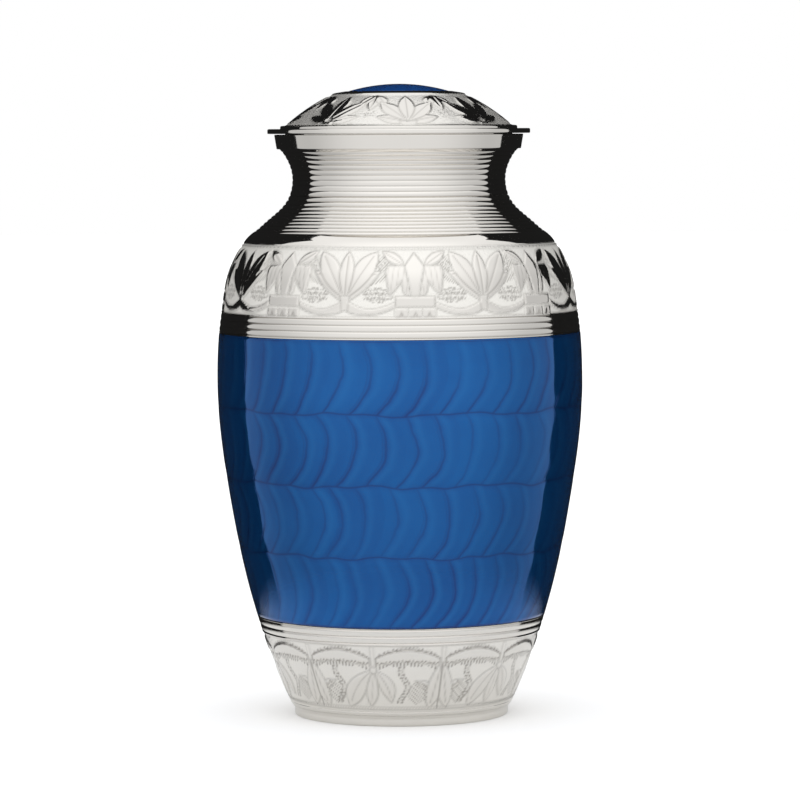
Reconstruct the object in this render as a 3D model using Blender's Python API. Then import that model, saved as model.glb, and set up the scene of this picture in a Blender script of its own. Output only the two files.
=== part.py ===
"""Enamelled cremation urn: a spun brass vessel with a fired enamel band and a lift-off domed lid.

Metres, +Z up, standing on z = 0 with its axis on the Z axis. Every piece is turned about that axis.
"""

import math

import bmesh
import bpy
import numpy as np

# Sides of every turned piece, rows of facets up each engraved band, and the gap between two pieces that touch
SIDES = 28
BASE_BAND_ROWS = 3
SHOULDER_BAND_ROWS = 4
GAP = 0.0003

# Whole height, lid and cap included: the belly takes what the other stretches leave of it
URN_HEIGHT = 0.2606

# Vessel: sheet thickness, foot and the plain collar round the mouth
WALL = 0.0015
FLOOR_THICKNESS = 0.0018
FOOT_RADIUS = 0.0443
FOOT_HEIGHT = 0.0030
FOOT_EDGE = 0.0008
COLLAR_HEIGHT = 0.0060
COLLAR_TOP_RADIUS = 0.0514
COLLAR_FOOT_RADIUS = 0.0504
COLLAR_EDGE = 0.0004
MOUTH_RADIUS = 0.0473

# Side of the vessel from the foot up: how far each stretch rises, and the radius it reaches. The belly's own
# rise is worked out below, and its lower stretch is a share of it.
FOOT_TOP_RADIUS = 0.0453
LOWER_BASE_RISE, LOWER_BASE_RADIUS = 0.0184, 0.05325
UPPER_BASE_RISE, BASE_TOP_RADIUS = 0.0190, 0.0596
LOWER_BELLY_SHARE, LOWER_BELLY_RADIUS = 0.4845, 0.0702
BELLY_RADIUS = 0.0755
CROWN_RISE, CROWN_RADIUS = 0.0285, 0.0737
LOWER_SHOULDER_RISE, LOWER_SHOULDER_RADIUS = 0.0195, 0.0695
UPPER_SHOULDER_RISE, UPPER_SHOULDER_RADIUS = 0.0095, 0.0641
NECK_ROOT_RISE, NECK_ROOT_RADIUS = 0.0075, 0.0560
LOWER_NECK_RISE, LOWER_NECK_RADIUS = 0.0080, 0.0473
THROAT_RISE, THROAT_RADIUS = 0.0095, 0.0440
NECK_TOP_RISE, NECK_TOP_RADIUS = 0.0120, 0.0481
COLLAR_STEP = 0.0012

# Turned and engraved zones of the side, measured up from the foot's top, with the depth of each cut
BASE_BAND_START, BASE_BAND_HEIGHT = 0.0026, 0.0284
SHOULDER_BAND_HEIGHT = 0.0286
BAND_DEPTH = 0.0004
BEAD_DEPTH = 0.0004
BASE_BEAD_COUNT = 2
CROWN_BEAD_COUNT = 3
CROWN_BEADS_HEIGHT = 0.0083
NECK_RING_COUNT = 19
NECK_RING_DEPTH = 0.0005
NECK_PLAIN_HEIGHT = 0.0044

# Enamel coat round the belly: how far it runs up past the widest place, and how thick it is
ENAMEL_ABOVE_BELLY = 0.0206
ENAMEL_THICKNESS = 0.0008

# Lid: flange, bead, engraved dome, polished ring and the locating ring below
LID_WALL = 0.0013
FLANGE_RADIUS = 0.0542
FLANGE_THICKNESS = 0.0020
FLANGE_EDGE = 0.0005
LID_BEAD_RADIUS = 0.0489
LID_BEAD_HEIGHT = 0.0014
DOME_FOOT_RADIUS = 0.0468
DOME_RISE = 0.0144
DOME_TOP_RADIUS = 0.0272
DOME_BULGE = 0.0008
RING_RISE = 0.0009
SPIGOT_LENGTH = 0.0045
SPIGOT_WALL = 0.0012
SPIGOT_CLEARANCE = 0.0004

# Enamel cap on the lid
CAP_RADIUS = 0.0211
CAP_THICKNESS = 0.0010
CAP_RISE = 0.0031

# Engraved leaves: how far a leaf's midrib stands over its sunk ground and its edge lies under it, how far
# from the fan's foot it starts and where it is widest, as shares of its length, the groups in each band, and
# how far the base band's groups are turned past the others, in radians
LEAF_LIFT = 0.00055
LEAF_ROOT = 0.0004
LEAF_STEM = 0.15
LEAF_WAIST = 0.45
SHOULDER_GROUPS = 8
BASE_GROUPS = 6
BASE_TURN = -0.30
LID_GROUPS = 8

METAL = ("nickel_plated_brass", (0.80, 0.79, 0.77), 1.0, 0.12)
ENAMEL = ("blue_enamel", (0.016, 0.075, 0.30), 0.0, 0.15)


def clear_scene():
    """Removes what the new file came with."""
    for item in list(bpy.data.objects):
        bpy.data.objects.remove(item, do_unlink=True)


def material(name, colour, metallic, roughness):
    """Returns a Principled material, made once for each name."""
    found = bpy.data.materials.get(name)
    if found:
        return found
    made = bpy.data.materials.new(name)
    made.use_nodes = True
    shader = made.node_tree.nodes["Principled BSDF"]
    shader.inputs["Base Color"].default_value = (*colour, 1.0)
    shader.inputs["Metallic"].default_value = metallic
    shader.inputs["Roughness"].default_value = roughness
    return made


class Curve:
    """A smooth line through stations (x, y), x rising: a parabola's slope at each, cubics between."""

    def __init__(self, stations):
        self.x, self.y = (np.array(column, float) for column in zip(*stations))
        width = np.diff(self.x)
        secant = np.diff(self.y) / width
        slope = np.empty(len(self.x))
        slope[1:-1] = (width[:-1] * secant[1:] + width[1:] * secant[:-1]) / (width[:-1] + width[1:])
        slope[0] = 2 * secant[0] - slope[1]
        slope[-1] = 2 * secant[-1] - slope[-2]
        self.slope = slope

    def __call__(self, x):
        i = min(max(int(np.searchsorted(self.x, x)) - 1, 0), len(self.x) - 2)
        width = self.x[i + 1] - self.x[i]
        u = (x - self.x[i]) / width
        value = (1 + 2 * u) * (1 - u) ** 2 * self.y[i] + u * (1 - u) ** 2 * width * self.slope[i]
        value += u * u * (3 - 2 * u) * self.y[i + 1] + u * u * (u - 1) * width * self.slope[i + 1]
        return float(value)

    def inset(self, x, depth):
        """Point (radius, height) that lies depth inside the line at height x, square to it."""
        step = 1e-5
        lean = (self(x + step) - self(x - step)) / (2 * step)
        across = math.hypot(1.0, lean)
        return self(x) - depth / across, x + depth * lean / across

    def spaced(self, low, high, count):
        """Heights of count + 1 points that divide the line between two heights into equal lengths."""
        heights = np.linspace(low, high, 400)
        radii = np.array([self(z) for z in heights])
        along = np.concatenate([[0.0], np.cumsum(np.hypot(np.diff(heights), np.diff(radii)))])
        return [float(z) for z in np.interp(np.linspace(0, along[-1], count + 1), along, heights)]


def belly_rise():
    """Rise from the enamel's foot to the widest place: what the other stretches leave of the whole height."""
    base = FOOT_HEIGHT + FOOT_EDGE + LOWER_BASE_RISE + UPPER_BASE_RISE
    shoulder = CROWN_RISE + LOWER_SHOULDER_RISE + UPPER_SHOULDER_RISE
    neck = NECK_ROOT_RISE + LOWER_NECK_RISE + THROAT_RISE + NECK_TOP_RISE + COLLAR_STEP + COLLAR_HEIGHT
    lid = GAP + FLANGE_THICKNESS + DOME_RISE + RING_RISE + CAP_RISE
    return URN_HEIGHT - base - shoulder - neck - lid


def side_stations():
    """Heights and radii that the vessel's side passes through, foot to neck top."""
    belly = belly_rise()
    lower_belly = LOWER_BELLY_SHARE * belly
    stretches = (
        (LOWER_BASE_RISE, LOWER_BASE_RADIUS), (UPPER_BASE_RISE, BASE_TOP_RADIUS),
        (lower_belly, LOWER_BELLY_RADIUS), (belly - lower_belly, BELLY_RADIUS), (CROWN_RISE, CROWN_RADIUS),
        (LOWER_SHOULDER_RISE, LOWER_SHOULDER_RADIUS), (UPPER_SHOULDER_RISE, UPPER_SHOULDER_RADIUS),
        (NECK_ROOT_RISE, NECK_ROOT_RADIUS), (LOWER_NECK_RISE, LOWER_NECK_RADIUS),
        (THROAT_RISE, THROAT_RADIUS), (NECK_TOP_RISE, NECK_TOP_RADIUS),
    )
    height = FOOT_HEIGHT + FOOT_EDGE
    stations = [(height, FOOT_TOP_RADIUS)]
    for rise, radius in stretches:
        height += rise
        stations.append((height, radius))
    return stations


SIDE = Curve(side_stations())
SIDE_START = float(SIDE.x[0])
NECK_TOP = float(SIDE.x[-1])
ENAMEL_RECESS = ENAMEL_THICKNESS + GAP
BASE_BAND_LOW = SIDE_START + BASE_BAND_START
BASE_BAND_HIGH = BASE_BAND_LOW + BASE_BAND_HEIGHT
ENAMEL_LOW = SIDE_START + LOWER_BASE_RISE + UPPER_BASE_RISE
ENAMEL_HIGH = ENAMEL_LOW + belly_rise() + ENAMEL_ABOVE_BELLY
SHOULDER_BAND_LOW = ENAMEL_HIGH + CROWN_BEADS_HEIGHT
SHOULDER_BAND_HIGH = SHOULDER_BAND_LOW + SHOULDER_BAND_HEIGHT
NECK_RINGS_LOW = SHOULDER_BAND_HIGH + NECK_PLAIN_HEIGHT
COLLAR_LOW = NECK_TOP + COLLAR_STEP
MOUTH_HEIGHT = COLLAR_LOW + COLLAR_HEIGHT
LID_BASE = MOUTH_HEIGHT + GAP
FLANGE_TOP = LID_BASE + FLANGE_THICKNESS
DOME_LOW = FLANGE_TOP + LID_BEAD_HEIGHT
DOME_HIGH = DOME_LOW + DOME_RISE - LID_BEAD_HEIGHT
CAP_EDGE = DOME_HIGH + RING_RISE
CAP_SPHERE = (CAP_RADIUS ** 2 + CAP_RISE ** 2) / (2 * CAP_RISE)
DOME_SHARES = (0.02, 0.5, 0.98)


def belly_heights():
    """Heights of the enamel's rows, shared by the coat and the recess so that their faces stay parallel."""
    return SIDE.spaced(ENAMEL_LOW + GAP, ENAMEL_HIGH - GAP, 6)


def beads(low, high, count, depth):
    """Half-round beads between two heights: a sunk line at each end of a bead, a crest on the side."""
    heights = SIDE.spaced(low, high, 2 * count)
    return [SIDE.inset(z, 0.0 if i % 2 else depth) for i, z in enumerate(heights)]


def sunk_band(low, high, rows):
    """Engraved band: a small step in, rows of sunk ground, and a step out."""
    points = [SIDE.inset(low, 0.0)]
    points += [SIDE.inset(z, BAND_DEPTH) for z in SIDE.spaced(low + BAND_DEPTH, high - BAND_DEPTH, rows)]
    return points + [SIDE.inset(high, 0.0)]


def outer_side():
    """Outside of the vessel as (radius, height), from the underside's edge up to the lip."""
    points = [(FOOT_RADIUS - FOOT_EDGE, 0.0), (FOOT_RADIUS, FOOT_EDGE), (FOOT_RADIUS, FOOT_HEIGHT)]
    points += [SIDE.inset(SIDE_START, 0.0)]
    points += beads(SIDE_START + BEAD_DEPTH, BASE_BAND_LOW - BEAD_DEPTH, 1, BEAD_DEPTH)
    points += sunk_band(BASE_BAND_LOW, BASE_BAND_HIGH, BASE_BAND_ROWS)
    points += beads(BASE_BAND_HIGH + BEAD_DEPTH, ENAMEL_LOW - BEAD_DEPTH, BASE_BEAD_COUNT, BEAD_DEPTH)
    points += [SIDE.inset(ENAMEL_LOW, 0.0), (SIDE(ENAMEL_LOW) - ENAMEL_RECESS, ENAMEL_LOW)]
    points += [(SIDE(z) - ENAMEL_RECESS, z) for z in belly_heights()[1:-1]]
    points += [(SIDE(ENAMEL_HIGH) - ENAMEL_RECESS, ENAMEL_HIGH), SIDE.inset(ENAMEL_HIGH, 0.0)]
    crown_low, crown_high = ENAMEL_HIGH + BEAD_DEPTH, SHOULDER_BAND_LOW - BAND_DEPTH
    points += beads(crown_low, crown_high, CROWN_BEAD_COUNT, BEAD_DEPTH)
    points += sunk_band(SHOULDER_BAND_LOW, SHOULDER_BAND_HIGH, SHOULDER_BAND_ROWS)
    points += beads(NECK_RINGS_LOW, NECK_TOP, NECK_RING_COUNT, NECK_RING_DEPTH)
    points += [(COLLAR_FOOT_RADIUS - COLLAR_EDGE, COLLAR_LOW), (COLLAR_FOOT_RADIUS, COLLAR_LOW + COLLAR_EDGE)]
    points += [(COLLAR_TOP_RADIUS, MOUTH_HEIGHT - COLLAR_EDGE), (COLLAR_TOP_RADIUS - COLLAR_EDGE, MOUTH_HEIGHT)]
    return points


def inner_side():
    """Inside of the vessel as (radius, height), from the floor's edge up to the lip."""
    recess_wall = WALL + ENAMEL_RECESS
    points = [SIDE.inset(SIDE_START, WALL)]
    points[0] = (points[0][0], FLOOR_THICKNESS)
    points += [SIDE.inset(z, WALL) for z in SIDE.spaced(SIDE_START, ENAMEL_LOW - recess_wall, 2)[1:]]
    points += [SIDE.inset(z, recess_wall) for z in SIDE.spaced(ENAMEL_LOW, ENAMEL_HIGH, 4)]
    points += [SIDE.inset(z, WALL) for z in SIDE.spaced(ENAMEL_HIGH + recess_wall, NECK_TOP - WALL, 9)]
    return points + [(MOUTH_RADIUS, COLLAR_LOW), (MOUTH_RADIUS, MOUTH_HEIGHT)]


def dome_point(share, depth):
    """Point of the lid's dome, share 0 at its foot and 1 at its top, depth inside it: a shallow arc."""
    run, rise = DOME_TOP_RADIUS - DOME_FOOT_RADIUS, DOME_HIGH - DOME_LOW
    length = math.hypot(run, rise)
    out = 4 * DOME_BULGE * share * (1 - share) - depth
    return DOME_FOOT_RADIUS + run * share + out * rise / length, DOME_LOW + rise * share - out * run / length


def cap_height(radius, depth):
    """Height of the enamel cap's sphere at a radius, depth below its surface."""
    return CAP_EDGE + CAP_RISE - CAP_SPHERE + math.sqrt((CAP_SPHERE - depth) ** 2 - radius ** 2)


def lid_outline():
    """Section of the lid from its top centre, down the outside, round the locating ring and up the inside."""
    seat_depth = CAP_THICKNESS + GAP
    seat_radius = CAP_RADIUS + GAP
    spigot_radius = MOUTH_RADIUS - SPIGOT_CLEARANCE
    outside = [(radius, cap_height(radius, seat_depth)) for radius in (0.0, seat_radius / 2, seat_radius)]
    outside += [(seat_radius, CAP_EDGE), dome_point(1.0, 0.0)]
    outside += [dome_point(share, BAND_DEPTH) for share in reversed(DOME_SHARES)]
    outside += [dome_point(0.0, 0.0)]
    outside += [(LID_BEAD_RADIUS, DOME_LOW - LID_BEAD_HEIGHT / 3), (LID_BEAD_RADIUS, FLANGE_TOP)]
    outside += [(FLANGE_RADIUS - FLANGE_EDGE, FLANGE_TOP), (FLANGE_RADIUS, FLANGE_TOP - FLANGE_EDGE),
                (FLANGE_RADIUS, LID_BASE + 2 * FLANGE_EDGE), (FLANGE_RADIUS - 2 * FLANGE_EDGE, LID_BASE)]
    spigot_low, spigot_inside = LID_BASE - SPIGOT_LENGTH, spigot_radius - SPIGOT_WALL
    inside = [(spigot_radius, LID_BASE), (spigot_radius, spigot_low)]
    inside += [(spigot_inside, spigot_low), (spigot_inside, FLANGE_TOP)]
    inside += [dome_point(share, LID_WALL + BAND_DEPTH) for share in (0.1, 0.97)]
    ceiling = (seat_radius - LID_WALL, 0.0)
    inside += [(radius, cap_height(radius, seat_depth + LID_WALL)) for radius in ceiling]
    return outside + inside


def cap_outline():
    """Section of the enamel cap, from its top centre to its underside's centre."""
    top = [(share * CAP_RADIUS, cap_height(share * CAP_RADIUS, 0.0)) for share in (0.0, 0.45, 0.95)]
    edge = (CAP_RADIUS, cap_height(0.95 * CAP_RADIUS, CAP_THICKNESS / 2))
    under = [(share * CAP_RADIUS, cap_height(share * CAP_RADIUS, CAP_THICKNESS)) for share in (1.0, 0.5, 0.0)]
    return top + [edge] + under


def vessel_outline():
    """Section of the vessel, from the floor's centre up the inside and down the outside to the underside."""
    return [(0.0, FLOOR_THICKNESS)] + inner_side() + outer_side()[::-1] + [(0.0, 0.0)]


def band_outline():
    """Closed section of the enamel coat, down its outside and up its inside."""
    heights = belly_heights()
    outside = [(SIDE(z), z) for z in reversed(heights)]
    inside = [(SIDE(z) - ENAMEL_THICKNESS, z) for z in heights]
    return outside + inside


def turned(name, outline, finish, closed=False):
    """Turns an outline at +X about the Z axis with a Screw modifier and returns the object."""
    mesh = bpy.data.meshes.new(name)
    edges = [(i, i + 1) for i in range(len(outline) - 1)]
    if closed:
        edges.append((len(outline) - 1, 0))
    mesh.from_pydata([(radius, 0.0, height) for radius, height in outline], edges, [])
    piece = bpy.data.objects.new(name, mesh)
    bpy.context.scene.collection.objects.link(piece)
    mesh.materials.append(material(*finish))
    screw = piece.modifiers.new("turn", "SCREW")
    screw.angle = math.tau
    screw.steps = screw.render_steps = SIDES
    screw.use_merge_vertices = True
    screw.merge_threshold = 0.00001
    screw.use_smooth_shade = True
    return piece


def facet(angle):
    """How far in the flat sides of a turned piece lie at an angle, as a share of its radius."""
    step = math.tau / SIDES
    return math.cos(step / 2) / math.cos(angle % step - step / 2)


class Ground:
    """Sunk ground of a band: a line of (radius, height) points, read by the length along it."""

    def __init__(self, points):
        self.points = np.array(points)
        self.along = np.concatenate([[0.0], np.cumsum(np.hypot(*np.diff(self.points, axis=0).T))])

    def place(self, angle, along, lift):
        """Point at an angle and a length along the line, lifted square to the ground."""
        radius, height = (float(np.interp(along, self.along, self.points[:, k])) for k in (0, 1))
        i = min(max(int(np.searchsorted(self.along, along)) - 1, 0), len(self.points) - 2)
        run, rise = (self.points[i + 1] - self.points[i]) / (self.along[i + 1] - self.along[i])
        radius = radius * facet(angle) + lift * rise
        return radius * math.cos(angle), radius * math.sin(angle), height - lift * run


def add_leaf(mesh, ground, angle, foot, length, width, lean):
    """Adds a pointed leaf with a raised midrib to a bmesh, its root sunk under the ground.

    foot is how far up the band the leaf's stem starts, and lean tips it to the side, in radians.
    """
    radius = float(np.interp(foot, ground.along, ground.points[:, 0]))

    def point(along, across, lift):
        along += LEAF_STEM * length
        side = along * math.sin(lean) + across * math.cos(lean)
        up = along * math.cos(lean) - across * math.sin(lean)
        return mesh.verts.new(ground.place(angle + side / radius, foot + up, lift))

    tail, tip = point(0.0, 0.0, -LEAF_ROOT / 4), point(length, 0.0, -LEAF_ROOT / 4)
    waist = length * LEAF_WAIST
    left, right = (point(waist, side * width / 2, -LEAF_ROOT / 2) for side in (-1, 1))
    crest, root = point(waist, 0.0, LEAF_LIFT), point(waist, 0.0, -2 * LEAF_ROOT)
    for start, end in ((tail, left), (left, tip), (tip, right), (right, tail)):
        mesh.faces.new((start, crest, end))
        mesh.faces.new((start, end, root))


def engrave(piece, name, ground, groups, leaves, start=0.0):
    """Joins a ring of leaf groups to a piece: leaves holds (turn, foot, length, width, lean) for a group."""
    mesh = bmesh.new()
    for group in range(groups):
        for turn, foot, length, width, lean in leaves:
            angle = start + (group + turn) * math.tau / groups
            add_leaf(mesh, ground, angle, foot, length, width, lean)
    bmesh.ops.recalc_face_normals(mesh, faces=mesh.faces)
    data = bpy.data.meshes.new(name)
    mesh.to_mesh(data)
    mesh.free()
    leaf_ring = bpy.data.objects.new(name, data)
    bpy.context.scene.collection.objects.link(leaf_ring)
    leaf_ring.hide_render = True
    leaf_ring.display_type = "WIRE"
    join = piece.modifiers.new(name, "BOOLEAN")
    join.operation = "UNION"
    join.solver = "EXACT"
    join.object = leaf_ring


def fan(turn, foot, spread, sizes):
    """Leaves that open like a fan: sizes holds (length, width), from the middle leaf outwards."""
    leaves = []
    for i, (length, width) in enumerate(sizes):
        for side in ((0,) if i == 0 else (-1, 1)):
            leaves.append((turn, foot, length, width, side * i * spread))
    return leaves


def side_ground(low, high, rows):
    """Sunk ground of a band on the vessel's side, on the same rows as its facets."""
    return Ground([SIDE.inset(z, BAND_DEPTH) for z in SIDE.spaced(low + BAND_DEPTH, high - BAND_DEPTH, rows)])


def build_vessel():
    """The spun vessel with its engraved bands: lilies and lotus fans above, palm leaves and buds below."""
    body = turned("urn_body", vessel_outline(), METAL)
    shoulder = side_ground(SHOULDER_BAND_LOW, SHOULDER_BAND_HIGH, SHOULDER_BAND_ROWS)
    reach = shoulder.along[-1]
    lily = fan(0.0, 0.34 * reach, 0.75, [(0.52 * reach, 0.24 * reach), (0.42 * reach, 0.18 * reach)])
    lotus = fan(0.5, 0.26 * reach, 0.8, [(0.58 * reach, 0.18 * reach), (0.56 * reach, 0.2 * reach)])
    engrave(body, "shoulder_leaves", shoulder, SHOULDER_GROUPS, lily + lotus)
    base = side_ground(BASE_BAND_LOW, BASE_BAND_HIGH, BASE_BAND_ROWS)
    reach = base.along[-1]
    palm_sizes = (0.71 * reach, 0.39 * reach, 0.15 * reach)
    palm = [(turn, *palm_sizes, side * 1.35) for turn in (0.0, 0.5) for side in (-1, 1)]
    petals = [(0.0, 0.05 * reach, 0.54 * reach, 0.15 * reach, side * 0.24) for side in (-1, 1)]
    bud = [(0.5, 0.63 * reach, 0.46 * reach, 0.22 * reach, math.pi)]
    engrave(body, "base_leaves", base, BASE_GROUPS, palm + petals + bud, BASE_TURN)
    return body


def build_lid():
    """The lid with its engraved dome."""
    lid = turned("lid", lid_outline(), METAL)
    dome = Ground([dome_point(share, BAND_DEPTH) for share in DOME_SHARES])
    reach = dome.along[-1]
    flower = fan(0.0, 0.1 * reach, 0.8, [(0.66 * reach, 0.2 * reach), (0.6 * reach, 0.2 * reach)])
    engrave(lid, "lid_leaves", dome, LID_GROUPS, flower)
    return lid


def build_urn():
    """Builds the four pieces."""
    clear_scene()
    build_vessel()
    turned("enamel_band", band_outline(), ENAMEL, closed=True)
    build_lid()
    turned("lid_enamel", cap_outline(), ENAMEL)


build_urn()
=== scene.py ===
"""Dresses a cremation urn: engraved nickel-plated brass with a fired blue enamel coat and a lift-off lid.

Metres, +Z up, standing on z = 0 with its axis on the Z axis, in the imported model's frame. Engraving is laid
out in millimetres: u runs round the urn from a motif's middle, and t runs up its band.
"""

import logging
import math
from dataclasses import dataclass, field
from enum import Enum, IntEnum
from functools import partial

import bmesh
import bpy
import numpy as np
from mathutils import Matrix, Vector


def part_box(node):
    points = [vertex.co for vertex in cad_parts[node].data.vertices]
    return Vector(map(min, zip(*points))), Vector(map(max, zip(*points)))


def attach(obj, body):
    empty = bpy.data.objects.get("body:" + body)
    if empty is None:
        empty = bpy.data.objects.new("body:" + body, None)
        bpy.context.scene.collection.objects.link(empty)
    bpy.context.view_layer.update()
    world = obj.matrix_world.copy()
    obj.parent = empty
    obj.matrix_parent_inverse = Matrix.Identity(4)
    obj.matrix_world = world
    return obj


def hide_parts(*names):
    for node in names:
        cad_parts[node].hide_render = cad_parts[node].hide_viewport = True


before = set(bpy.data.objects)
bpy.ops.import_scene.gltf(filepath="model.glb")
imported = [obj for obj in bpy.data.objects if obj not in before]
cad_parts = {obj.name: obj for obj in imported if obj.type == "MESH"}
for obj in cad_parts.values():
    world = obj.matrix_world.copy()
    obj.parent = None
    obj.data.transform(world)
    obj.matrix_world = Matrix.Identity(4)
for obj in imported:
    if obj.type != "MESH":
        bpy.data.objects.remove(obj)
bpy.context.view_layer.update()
log = logging.getLogger("urn")

MM = 0.001
# Room between the enamel and its seat, the least step between an outline's rows, and the vessel's wall
GAP = 0.0003
HAIR = 0.0001
WALL = 0.0015
ENAMEL_THICKNESS = 0.0008
ROOT = "root"

# Node kinds and settings that recur
MATH, MIX, RANGE, NOISE = "ShaderNodeMath", "ShaderNodeMix", "ShaderNodeMapRange", "ShaderNodeTexNoise"
SPLIT, JOIN, EMIT = "ShaderNodeSeparateXYZ", "ShaderNodeCombineXYZ", "ShaderNodeEmission"
ADD, SUBTRACT, MULTIPLY, DIVIDE, MAXIMUM, FLOOR, FRACTION, PINGPONG, MODULO, ABOVE, SIZE, SCALE_ADD = (
    {"operation": name} for name in ("ADD", "SUBTRACT", "MULTIPLY", "DIVIDE", "MAXIMUM", "FLOOR", "FRACT",
                                     "PINGPONG", "FLOORED_MODULO", "GREATER_THAN", "ABSOLUTE", "MULTIPLY_ADD"))
HELD = {"use_clamp": True}
COLOURS = {"data_type": "RGBA"}
EASED = {"interpolation_type": "SMOOTHSTEP"}
Fed = bpy.types.Node | bpy.types.NodeSocket | bpy.types.Material | float | int | str | tuple


class Slot(Enum):
    """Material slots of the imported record."""

    METAL = "nickel_plated_brass"
    ENAMEL = "blue_enamel"


class Zone(IntEnum):
    """What is cut into a stretch of an outline."""

    PLAIN = 0
    BASE_BAND = 1
    SHOULDER_BAND = 2
    DOME_BAND = 3
    COAT = 4


def linear(code: str) -> tuple[float, float, float, float]:
    """Turns an sRGB hex colour into linear RGBA.

    Args:
        code: six hex digits.

    Returns:
        The linear colour with alpha 1.
    """
    shares = [int(code[i:i + 2], 16) / 255 for i in (0, 2, 4)]
    return (*((c / 12.92 if c <= 0.04045 else ((c + 0.055) / 1.055) ** 2.4) for c in shares), 1.0)


def add_node(tree: bpy.types.NodeTree, kind: str, settings: dict | None = None, *inputs: Fed,
             **named: Fed) -> bpy.types.Node:
    """Adds a node with its settings, input values and links.

    Args:
        tree: the tree to add to.
        kind: Blender's name for the node's type.
        settings: properties of the node.
        *inputs: what goes into the input sockets in use, in their order: a value, another node's output
            socket, or a node, which stands for the first of its outputs in use.
        **named: the same for input sockets by name, with _ for a space.

    Returns:
        The new node.
    """
    node = tree.nodes.new(kind)
    for name, value in (settings or {}).items():
        setattr(node, name, value)
    fed = list(zip([socket for socket in node.inputs if socket.enabled], inputs))
    fed += [(node.inputs[name.replace("_", " ")], value) for name, value in named.items()]
    for socket, value in fed:
        if isinstance(value, bpy.types.Node):
            value = next(output for output in value.outputs if output.enabled)
        if isinstance(value, bpy.types.NodeSocket):
            tree.links.new(value, socket)
        else:
            socket.default_value = value
    return node


def bare_material(name: str) -> tuple[bpy.types.Material, partial]:
    """Makes a material with an empty tree.

    Args:
        name: its name.

    Returns:
        The material, and add_node for its tree.
    """
    made = bpy.data.materials.new(name)
    made.use_nodes = True
    made.node_tree.nodes.clear()
    return made, partial(add_node, made.node_tree)


def smooth(x: np.ndarray, low: float, high: float) -> np.ndarray:
    """Rises smoothly from 0 at low to 1 at high."""
    s = np.clip((x - low) / (high - low), 0.0, 1.0)
    return s * s * (3 - 2 * s)


class Curve:
    """A smooth line through stations (x, y): a parabola's slope at each, cubics between."""

    def __init__(self, stations: list[tuple[float, float]]) -> None:
        """Works out the slopes.

        Args:
            stations: (x, y) of each, with x rising.
        """
        self.x, self.y = (np.array(column, float) for column in zip(*stations))
        width = np.diff(self.x)
        secant = np.diff(self.y) / width
        slope = np.empty(len(self.x))
        slope[1:-1] = (width[:-1] * secant[1:] + width[1:] * secant[:-1]) / (width[:-1] + width[1:])
        slope[0] = 2 * secant[0] - slope[1]
        slope[-1] = 2 * secant[-1] - slope[-2]
        self.slope = slope

    def at(self, x: float) -> float:
        """Finds the line's value.

        Args:
            x: where.

        Returns:
            The value there.
        """
        i = min(max(int(np.searchsorted(self.x, x)) - 1, 0), len(self.x) - 2)
        width = self.x[i + 1] - self.x[i]
        s = (x - self.x[i]) / width
        value = (1 + 2 * s) * (1 - s) ** 2 * self.y[i] + s * (1 - s) ** 2 * width * self.slope[i]
        value += s * s * (3 - 2 * s) * self.y[i + 1] + s * s * (s - 1) * width * self.slope[i + 1]
        return float(value)

    def inset(self, x: float, depth: float = 0.0) -> tuple[float, float]:
        """Finds a point beside the line, square to it.

        Args:
            x: height on the line.
            depth: how far inside it, or outside where negative.

        Returns:
            The point as (radius, height).
        """
        step = 1e-5
        lean = (self.at(x + step) - self.at(x - step)) / (2 * step)
        across = math.hypot(1.0, lean)
        return self.at(x) - depth / across, x + depth * lean / across

    def spaced(self, low: float, high: float, count: int) -> list[float]:
        """Divides the line between two heights into equal lengths.

        Args:
            low: height of the first point.
            high: height of the last.
            count: number of lengths.

        Returns:
            Heights of the count + 1 points.
        """
        heights = np.linspace(low, high, 400)
        radii = np.array([self.at(z) for z in heights])
        along = np.concatenate([[0.0], np.cumsum(np.hypot(np.diff(heights), np.diff(radii)))])
        return [float(z) for z in np.interp(np.linspace(0, along[-1], count + 1), along, heights)]


@dataclass
class Outline:
    """Half section of a turned piece, as rows of (radius, height) with what each row is for."""

    segments: int
    points: list[tuple[float, float]] = field(default_factory=list)
    zones: list[Zone] = field(default_factory=list)
    cuts: list[float] = field(default_factory=list)

    def add(self, points: list[tuple[float, float]], zone: Zone = Zone.PLAIN, cut: float = 0.0) -> None:
        """Adds rows.

        Args:
            points: (radius, height) of each row.
            zone: what is cut into them.
            cut: how much painted shade they get, 0 to 1.
        """
        self.points += points
        self.zones += [zone] * len(points)
        self.cuts += [cut] * len(points)

    def add_beads(self, line: Curve, low: float, high: float, count: int, depth: float, shares: dict) -> None:
        """Adds half-round beads between two heights, each with a sunk line at its foot.

        Args:
            line: the side that the beads' crests lie on.
            low: height of the first sunk line.
            high: height of the last one.
            count: number of beads.
            depth: depth of the sunk lines.
            shares: place on a bead, 0 to 1, to how much painted shade its row gets.
        """
        feet = line.spaced(low, high, count)
        for start, end in zip(feet, feet[1:]):
            for share, cut in shares.items():
                sunk = depth * (1 - math.sqrt(1 - (2 * share - 1) ** 2))
                self.add([line.inset(start + (end - start) * share, sunk)], cut=cut)
        self.add([line.inset(high, depth)], cut=shares[0.0])


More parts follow.
